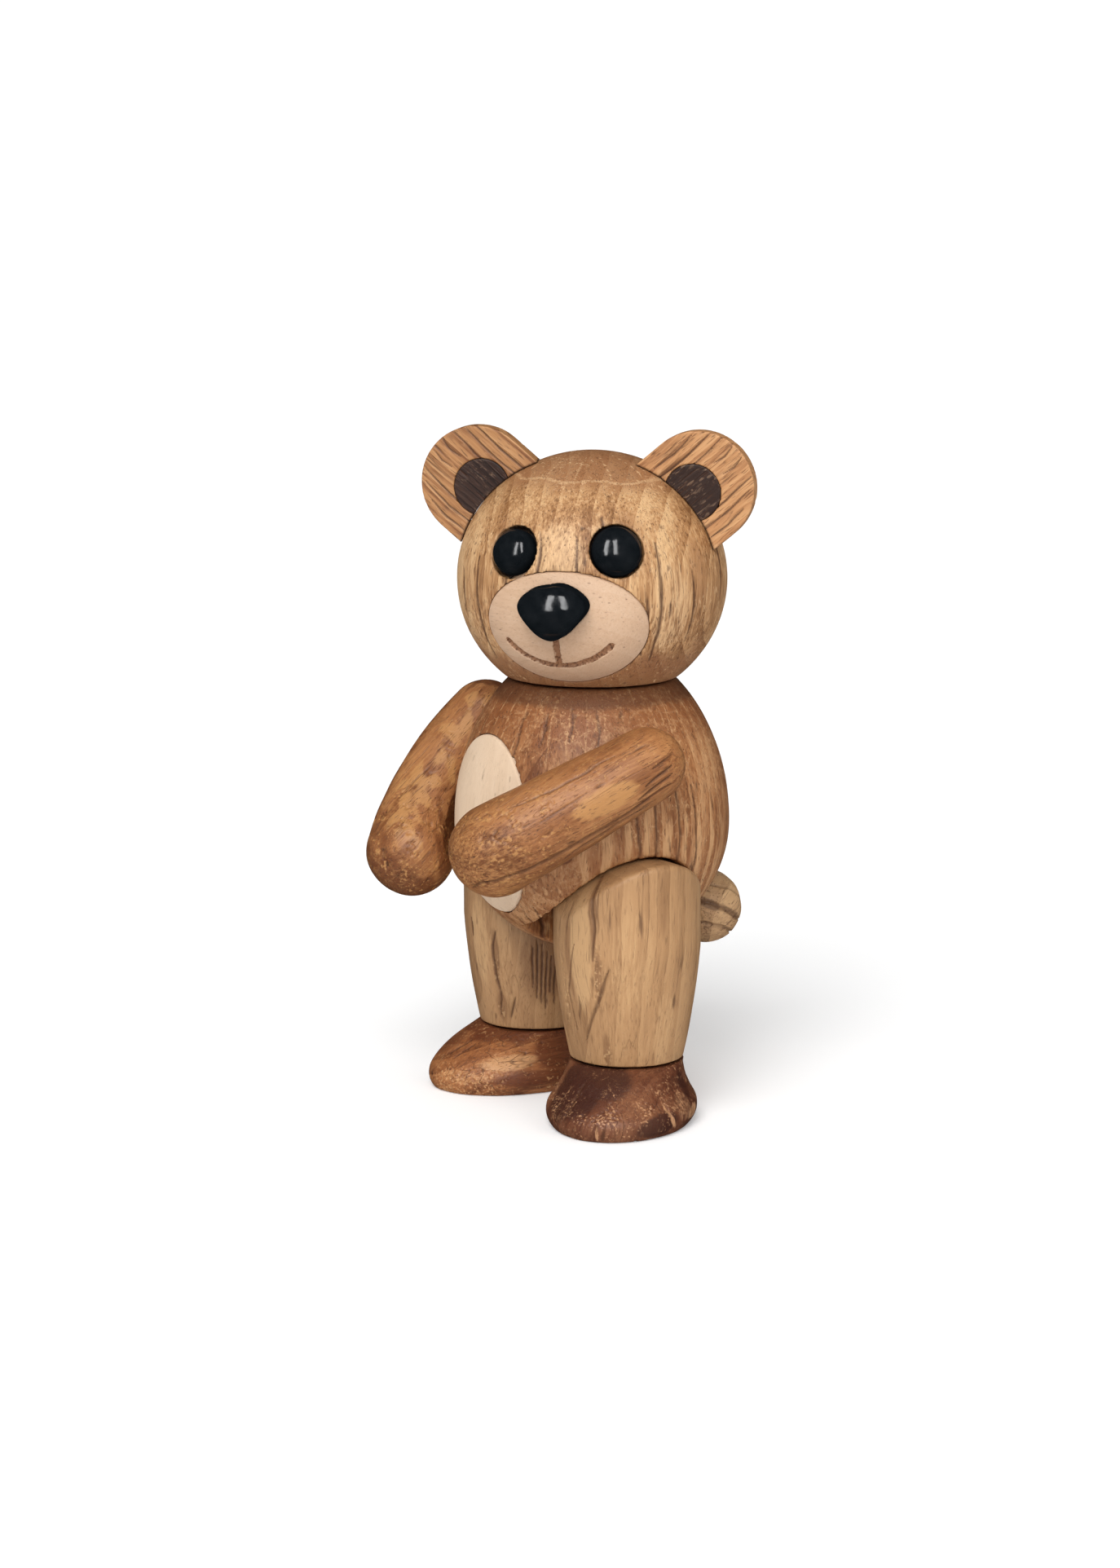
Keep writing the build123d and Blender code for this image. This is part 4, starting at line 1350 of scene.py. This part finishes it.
        # Painted shade: the ear's edge is darkened where it sits against the head, where shadow
        # falls in the seat.
        off = (bench.points - np.array(self.middle)) * (1, 1, self.radius / self.half_height)
        bench.zone("burn_and_shade", 0.85, np.linalg.norm(off, axis=1) - self.radius, 0.55, 0.1)
        self.shop.fit(bench, node, self.shop.cut_along(EAR_OAK[side], outward,
                                                       "ear_oak_" + side.value))

    def _inlay(self, side: Side) -> None:
        """Makes the dark disc of an ear, worn pale in slanting streaks.

        Args:
            side: Which ear.
        """
        node, (outward, across) = "ear_inlay_" + side.value, self._ear_ways(side)
        bench = self.shop.bench(node, voxel=0.15, rubs=2, deepest=0.2)
        bench.pores(outward, width=0.4, length=5.0, depth=0.14, share=0.32,
                    seed=26.0 + side.sign)
        off = bench.points - np.array(self.shop.middle(node))
        along, aside, ahead = (reach_along(off, way) for way in (outward, across, self.front))
        slant = np.column_stack((along / 1.6, aside / 0.5, ahead))
        inner = smooth_step(along, 0.5, -3.5) if side is Side.RIGHT else 0.8
        bench.zone("pale", 0.55, noise_over(slant, 28.0 + side.sign), 0.12, 0.4, inner)
        bench.mark("deep", np.full(len(along), 0.9 if side is Side.LEFT else 0.35))
        self.shop.fit(bench, node, self.shop.cut_along(WALNUT, outward, "walnut_" + side.value))


@dataclass
class Torso:
    """The turned body with its belly inlay and its tail. Sizes in millimetres."""

    shop: Workshop
    chart_radius: float = 24.0
    shoulder_rays: float = 19.0
    flank_bands: float = 40.0
    skin: float = 0.372

    def build(self) -> None:
        """Makes every visible piece of the torso."""
        chart = UprightChart(self.shop.pivot("head_turn"), self.chart_radius)
        bench = self.shop.bench("body", self.skin, rubs=5)
        bench.facets(size=8.0, depth=0.10, seed=31.0)
        bench.pores(UP, width=0.85, length=6.5, depth=0.11, share=0.24, seed=32.0)
        bench.draw(chart, BODY_FIGURE, seed=34.0)
        height = bench.points[:, 2]
        arc = chart.at(bench.points)[:, 0] / chart.radius
        wave = bench.noise(5.0, seed=36.0)
        self._shade_shoulders(bench, height, arc, wave)
        self._shade_flanks(bench, height, arc, wave)
        self.shop.fit(bench, "body", BODY_OAK.material())
        self._belly()
        self._tail()

    def _shade_shoulders(self, bench: Bench, height: np.ndarray, arc: np.ndarray,
                         wave: np.ndarray) -> None:
        """Marks the reddish shoulders, their ray lines and a ring of painted shade at the neck,
        under the head.

        Args:
            bench: The bench with the body.
            height: Each point's height.
            arc: Its azimuth in radians.
            wave: Slow noise that frays the marks' edges.
        """
        upper = smooth_step(height, 58.0, 66.0)
        bench.zone("deep", 0.75, height + 2.5 * wave, 62.0, 70.0)
        rays = np.abs(np.sin(self.shoulder_rays * arc + 0.5 * wave))
        bench.zone("pale", 0.62, rays, 0.30, 0.0, upper)
        rows = np.sin(0.9 * height + 2.2 * np.abs(np.sin(6.0 * arc)) + 0.8 * wave)
        bench.zone("pale", 0.45, np.abs(rows), 0.22, 0.0, upper)
        # Painted shade: a dark ring round the neck, where the head shades the body.
        bench.zone("deep", 1.0, height + 0.5 * wave, 70.6, 72.4)
        bench.zone("stain_and_shade", 0.6, height + 0.4 * wave, 71.8, 73.2)

    def _shade_flanks(self, bench: Bench, height: np.ndarray, arc: np.ndarray,
                      wave: np.ndarray) -> None:
        """Marks the banded flanks and the feathered front of the lower body.

        Args:
            bench: The bench with the body.
            height: Each point's height.
            arc: Its azimuth in radians.
            wave: Slow noise that frays the marks' edges.
        """
        lower = smooth_step(height, 60.0, 50.0)
        left_side = smooth_step(arc, 0.6, 0.9) * smooth_step(arc, 2.4, 2.1)
        flank = smooth_step(np.abs(arc), 0.75, 1.05) * (0.4 + 0.6 * left_side)
        bands = np.sin(self.flank_bands * arc + 1.4 * wave)
        bench.zone("pale", 0.72, bands, 0.0, 0.7, lower * flank)
        bench.zone("deep", 0.40, bands, -0.4, -0.9, lower * flank)
        feather = noise_over(bench.points * (1.1, 1.1, 0.5), 38.0)
        bench.zone("pale", 0.5, feather, 0.1, 0.45, lower * (1 - flank))

    def _belly(self) -> None:
        """Makes the pale oval let into the front."""
        bench = self.shop.bench("belly_inlay", voxel=0.24, rubs=2, deepest=0.15)
        bench.facets(size=7.0, depth=0.06, seed=41.0)
        bench.pores(UP, width=0.4, length=3.0, depth=0.04, share=0.04, seed=42.0)
        self.shop.fit(bench, "belly_inlay", BELLY_MAPLE.material())

    def _tail(self) -> None:
        """Carves the tail: a ball with two deep grooves."""
        bench = self.shop.bench("tail", voxel=0.18, rubs=2, deepest=0.5)
        bench.facets(size=3.2, depth=0.30, seed=44.0)
        bench.pores(Vector((0.2, 1, -0.5)), width=0.8, length=5.0, depth=0.14, share=0.26,
                    seed=45.0)
        chart = FlatChart(self.shop.middle("tail"), Vector((0, 1, 0)), UP, two_sided=True)
        bench.draw(chart, TAIL_FIGURE, seed=46.0)
        self.shop.fit(bench, "tail", TAIL_OAK.material())


@dataclass
class Arm:
    """A curved arm, its grain running from shoulder to hand. Sizes in millimetres."""

    shop: Workshop
    side: Side
    skin: float = 0.22
    deepest: float = 0.42
    # The way that the skin faces where the painted highlight is brightest.
    painted_light_way: Triple = (0.66, -0.72, 0.23)

    def build(self) -> None:
        """Makes the arm."""
        node, joint = f"arm_{self.side.value}", f"arm_{self.side.value}_swing"
        shoulder, outward = self.shop.pivot(joint), self.shop.axis(joint)
        if outward.x * self.side.sign < 0:
            outward = -outward
        bench = self.shop.bench(node, self.skin, rubs=3, deepest=self.deepest)
        away = bench.points - np.array(shoulder)
        along = Vector(away[np.argmax(np.linalg.norm(away, axis=1))])
        along = (along - outward * along.dot(outward)).normalized()
        down = outward.cross(along)
        if down.z > 0:
            down = -down
        seed = 50.0 + 10 * self.side.sign
        bench.facets(size=6.0, depth=0.34, seed=seed)
        bench.pores(along, width=0.8, length=6.0, depth=0.14, share=0.26, seed=seed + 1)
        swapped = along.cross(down).dot(outward) <= 0
        axes = (down, along) if swapped else (along, down)
        chart = FlatChart(shoulder, *axes, swapped=swapped)
        bench.draw(chart, ARM_FIGURE, seed + 2)
        self._shade(bench, chart, seed)
        self.shop.fit(bench, node, self.shop.cut_along(ARM_OAK, along,
                                                       "arm_oak_" + self.side.value))

    def _shade(self, bench: Bench, chart: FlatChart, seed: float) -> None:
        """Tears the grain near the hand and marks darker and paler zones; on the right arm these
        are painted highlight where the skin faces the light and painted shade where it turns away.

        Args:
            bench: The bench with the arm.
            chart: The arm's outer side.
            seed: Where in the noise this arm lies.
        """
        along, down = chart.spot(*chart.at(bench.points).T)
        wave = bench.noise(3.0, seed + 3)
        hand = smooth_step(along + 3 * wave, 12.0, 24.0)
        drifts = smooth_step(bench.noise(2.4, seed + 4), -0.02, 0.28)
        where = np.clip(hand + 0.25, 0, 1) * drifts
        bench.torn(size=0.85, depth=0.18, where=where, seed=seed + 5)
        if self.side is Side.LEFT:
            outer = chart.faces(bench.normals)
            gap = np.hypot((along - 9.5) / 7.0, (down - 2.2 + 0.06 * along) / 2.5)
            bench.zone("pale", 1.0, gap, 1.15, 0.6, outer)
            bench.zone("deep", 0.55, down + 0.8 * wave, 5.6, 7.4)
            bench.zone("deep", 0.35, -down + 1.2 * wave, 5.0, 7.5)
            bench.zone("pale", 0.34, along + 2.0 * wave, 23.0, 29.0, outer)
        else:
            # Painted highlight and painted shade: the skin is paler where it faces the light and
            # darker where it turns away.
            top = bench.normals @ np.array(self.painted_light_way)
            streak = noise_over(bench.points * (0.5, 0.5, 0.16), seed + 6)
            before_hand = smooth_step(along + 3.0 * wave, 31.0, 24.0)
            bench.zone("pale", 0.9, top + 0.32 * streak, 0.74, 0.96, before_hand)
            bench.zone("deep", 0.9, top + 0.4 * streak, 0.72, 0.25)
            bench.zone("deep", 0.8, along + 3.5 * wave, 26.0, 33.0)


@dataclass
class Leg:
    """A turned leg with its foot. Sizes in millimetres."""

    shop: Workshop
    side: Side
    chart_radius: float = 12.0
    waist_height: float = 6.6
    waist_depth: float = 0.42
    skin: float = 0.24

    def build(self) -> None:
        """Makes the leg and the foot."""
        ankle = self.shop.pivot(f"foot_{self.side.value}_turn")
        chart = UprightChart(ankle, self.chart_radius)
        self._leg(chart)
        self._foot(chart)

    def _leg(self, chart: UprightChart) -> None:
        """Args:
            chart: The skin round the ankle's axis.
        """
        node, seed = "leg_" + self.side.value, 80.0 + 10 * self.side.sign
        bench = self.shop.bench(node, self.skin, rubs=2)
        bench.facets(size=7.0, depth=0.13, seed=seed)
        bench.pores(UP, width=0.7, length=7.0, depth=0.09, share=0.17, seed=seed + 1)
        bench.draw(chart, LEG_FIGURE[self.side], seed + 2)
        across, ahead, _ = LEG_OAK.pith
        finish = replace(LEG_OAK, name="leg_oak_" + self.side.value,
                         pith=(across * self.side.sign, ahead, 0.0))
        self.shop.fit(bench, node, finish.material())

    def _foot(self, chart: UprightChart) -> None:
        """Makes the foot: burl with torn pits in drifts, darker at its rim.

        Args:
            chart: The skin round the ankle's axis.
        """
        node, seed = "foot_" + self.side.value, 110.0 + 10 * self.side.sign
        bench = self.shop.bench(node, self.skin, rubs=2, deepest=0.72)
        bench.facets(size=5.0, depth=0.20, seed=seed)
        bench.pores(Vector((0.3, 0.2, 1)), width=0.8, length=4.0, depth=0.13, share=0.24,
                    seed=seed + 1)
        height = bench.points[:, 2]
        wave = bench.noise(4.0, seed + 2)
        drifts = smooth_step(bench.noise(3.2, seed + 3), -0.1, 0.25)
        side_wall = smooth_step(np.abs(bench.normals[:, 2]), 0.98, 0.8)
        if self.side is Side.LEFT:
            waist = smooth_step(np.abs(height - self.waist_height), 3.2, 0.6)
            bench.depth += self.waist_depth * waist * side_wall
            band = smooth_step(np.abs(height - 5.2 - 1.6 * wave), 4.2, 1.2)
            torn, pit_size, pit_depth = band * drifts, 0.48, 0.18
            finish = DARK_BURL
        else:
            off_toe = np.abs(chart.at(bench.points)[:, 0] - chart.spot(22, 0)[0])
            toe = smooth_step(off_toe, 6.5, 2.0) * smooth_step(height + wave, 6.4, 3.6)
            torn, pit_size, pit_depth = np.clip(toe + 0.25 * drifts, 0, 1), 0.55, 0.2
            bench.zone("deep", 0.9, height + 1.2 * wave, 8.2, 10.2)
            finish = BROWN_BURL
        bench.torn(pit_size, pit_depth, torn * side_wall, seed + 4)
        bench.draw(chart, FOOT_FIGURE[self.side], seed + 5)
        self.shop.fit(bench, node, finish.material())


@dataclass
class Studio:
    """A pale sweep, soft light and the camera. Distances in metres, angles in degrees."""

    shop: Workshop
    azimuth: float = 60.0
    elevation: float = 10.5
    distance: float = 0.8
    lens: float = 103.9
    sensor: float = 36.0
    near: float = 0.01
    far: float = 100.0
    aim_from_neck: Vector = field(default_factory=lambda: Vector((-2.82, -4.88, -19.65)))
    bear_middle: Vector = field(default_factory=lambda: Vector((0.0, 0.0, 0.06)))
    floor_size: float = 30.0
    wall_radius: float = 25.0
    wall_height: float = 30.0
    window_distance: float = 1.3
    daylight: float = 1.6
    bounce: float = 0.55
    front_light: float = 0.98
    daylight_spread: float = 34.0
    room_light: float = 0.46

    def build(self) -> None:
        """Sets up the whole studio."""
        self._floor()
        self._backdrop()
        self._window("window_left", 34, 33, (0.27, 1.10), 7.0)
        self._window("window_right", 69, 36, (0.25, 1.00), 5.4)
        self._daylight("front_light", 52, 34, self.front_light)
        self._daylight("daylight", 40, 48, self.daylight)
        self._daylight("wall_bounce", 100, 22, self.bounce)
        world = bpy.data.worlds.new("white_room")
        world.use_nodes = True
        room = world.node_tree.nodes["Background"]
        room.inputs["Color"].default_value = (*WHITE, 1.0)
        room.inputs["Strength"].default_value = self.room_light
        bpy.context.scene.world = world
        world.cycles_visibility.glossy = False
        bpy.context.scene.view_settings.view_transform = "Standard"
        self._camera()

    def _aim(self, thing: bpy.types.Object, aim: Vector, azimuth: float, elevation: float,
             distance: float) -> None:
        """Links a lamp or a camera and turns it to look at a point.

        Args:
            thing: The lamp or the camera.
            aim: The point.
            azimuth: Where it stands, seen from the point.
            elevation: How high it stands, seen from the point.
            distance: How far away it stands.
        """
        turn, rise = math.radians(azimuth), math.radians(elevation)
        way = Vector((math.sin(turn) * math.cos(rise), -math.cos(turn) * math.cos(rise),
                      math.sin(rise)))
        thing.location = aim + way * distance
        thing.rotation_euler = (-way).to_track_quat("-Z", "Y").to_euler()
        bpy.context.scene.collection.objects.link(thing)

    def _sheet(self, name: str, work: bmesh.types.BMesh, paint: Recipe) -> bpy.types.Object:
        """Puts a painted sheet on the stage.

        Args:
            name: Its name.
            work: Its shape, which is used up.
            paint: Its finish.

        Returns:
            The sheet.
        """
        mesh = bpy.data.meshes.new(name)
        work.to_mesh(mesh)
        work.free()
        mesh.materials.append(paint.material)
        sheet = bpy.data.objects.new(name, mesh)
        bpy.context.scene.collection.objects.link(sheet)
        return sheet

    def _floor(self) -> None:
        """Lays a pale floor that runs out of sight."""
        work = bmesh.new()
        bmesh.ops.create_grid(work, x_segments=1, y_segments=1, size=self.floor_size)
        paint = Recipe("pale_floor")
        paint.coat(Base_Color=(0.85, 0.85, 0.85), Roughness=0.9, Specular_IOR_Level=0.1,
                   Emission_Color=WHITE, Emission_Strength=0.20)
        self._sheet("floor", work, paint).visible_glossy = False

    def _backdrop(self) -> None:
        """Stands a white paper wall far off all round, lit evenly and lighting nothing."""
        work = bmesh.new()
        bmesh.ops.create_cone(work, segments=64, radius1=self.wall_radius,
                              radius2=self.wall_radius, depth=self.wall_height)
        bmesh.ops.reverse_faces(work, faces=work.faces)
        paper = Recipe("white_paper")
        paper.coat(Base_Color=BLACK, Emission_Color=WHITE, Emission_Strength=1.05)
        wall = self._sheet("backdrop", work, paper)
        for sees in ("diffuse", "glossy", "transmission", "volume_scatter", "shadow"):
            setattr(wall, "visible_" + sees, False)

    def _daylight(self, name: str, azimuth: float, elevation: float, strength: float) -> None:
        """Adds broad light from one side, which the lacquer doesn't mirror.

        Args:
            name: The lamp's name.
            azimuth: Where it comes from.
            elevation: How high it comes from.
            strength: How strong it is.
        """
        light = bpy.data.lights.new(name, "SUN")
        light.energy = strength
        light.angle = math.radians(self.daylight_spread)
        sky = bpy.data.objects.new(name, light)
        sky.visible_glossy = False
        self._aim(sky, self.bear_middle, azimuth, elevation, 0.0)

    def _window(self, name: str, azimuth: float, elevation: float, size: Point,
                power: float) -> None:
        """Adds a tall bright pane, there only to be mirrored by what is polished.

        Args:
            name: The lamp's name.
            azimuth: Where it stands.
            elevation: How high it stands.
            size: Its width and height.
            power: How bright it is.
        """
        light = bpy.data.lights.new(name, "AREA")
        light.shape = "RECTANGLE"
        light.size, light.size_y = size
        light.energy = power
        pane = bpy.data.objects.new(name, light)
        pane.visible_diffuse = False
        self._aim(pane, self.bear_middle, azimuth, elevation, self.window_distance)

    def _camera(self) -> None:
        """Sets the camera, aimed near the body's middle."""
        lens = bpy.data.cameras.new("camera")
        lens.lens, lens.sensor_width, lens.sensor_fit = self.lens, self.sensor, "AUTO"
        lens.clip_start, lens.clip_end = self.near, self.far
        camera = bpy.data.objects.new("camera", lens)
        aim = (self.shop.pivot("head_turn") + self.aim_from_neck) * MM
        self._aim(camera, aim, self.azimuth, self.elevation, self.distance)
        bpy.context.scene.camera = camera


def dress_hidden_parts(shop: Workshop) -> None:
    """Gives the dowels and bushes inside the joints their beech and nylon.

    Args:
        shop: The workshop.
    """
    beech, nylon = BEECH.material(), BrownNylon().material()
    for node in shop.nodes:
        if "dowel" in node or "axle" in node:
            shop.dress(node, beech)
        elif "bush" in node:
            shop.dress(node, nylon)


def main() -> None:
    """Builds the bear in its frame and the studio round it."""
    logging.basicConfig(level=logging.INFO, format="%(name)s %(message)s")
    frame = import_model()
    shop = Workshop(frame)
    parts = [Head(shop), Torso(shop)]
    for side in Side:
        parts += [Arm(shop, side), Leg(shop, side)]
    for part in [*parts, Studio(shop)]:
        part.build()
        LOG.info("%s done", type(part).__name__)
    dress_hidden_parts(shop)


if __name__ == "__main__":
    main()
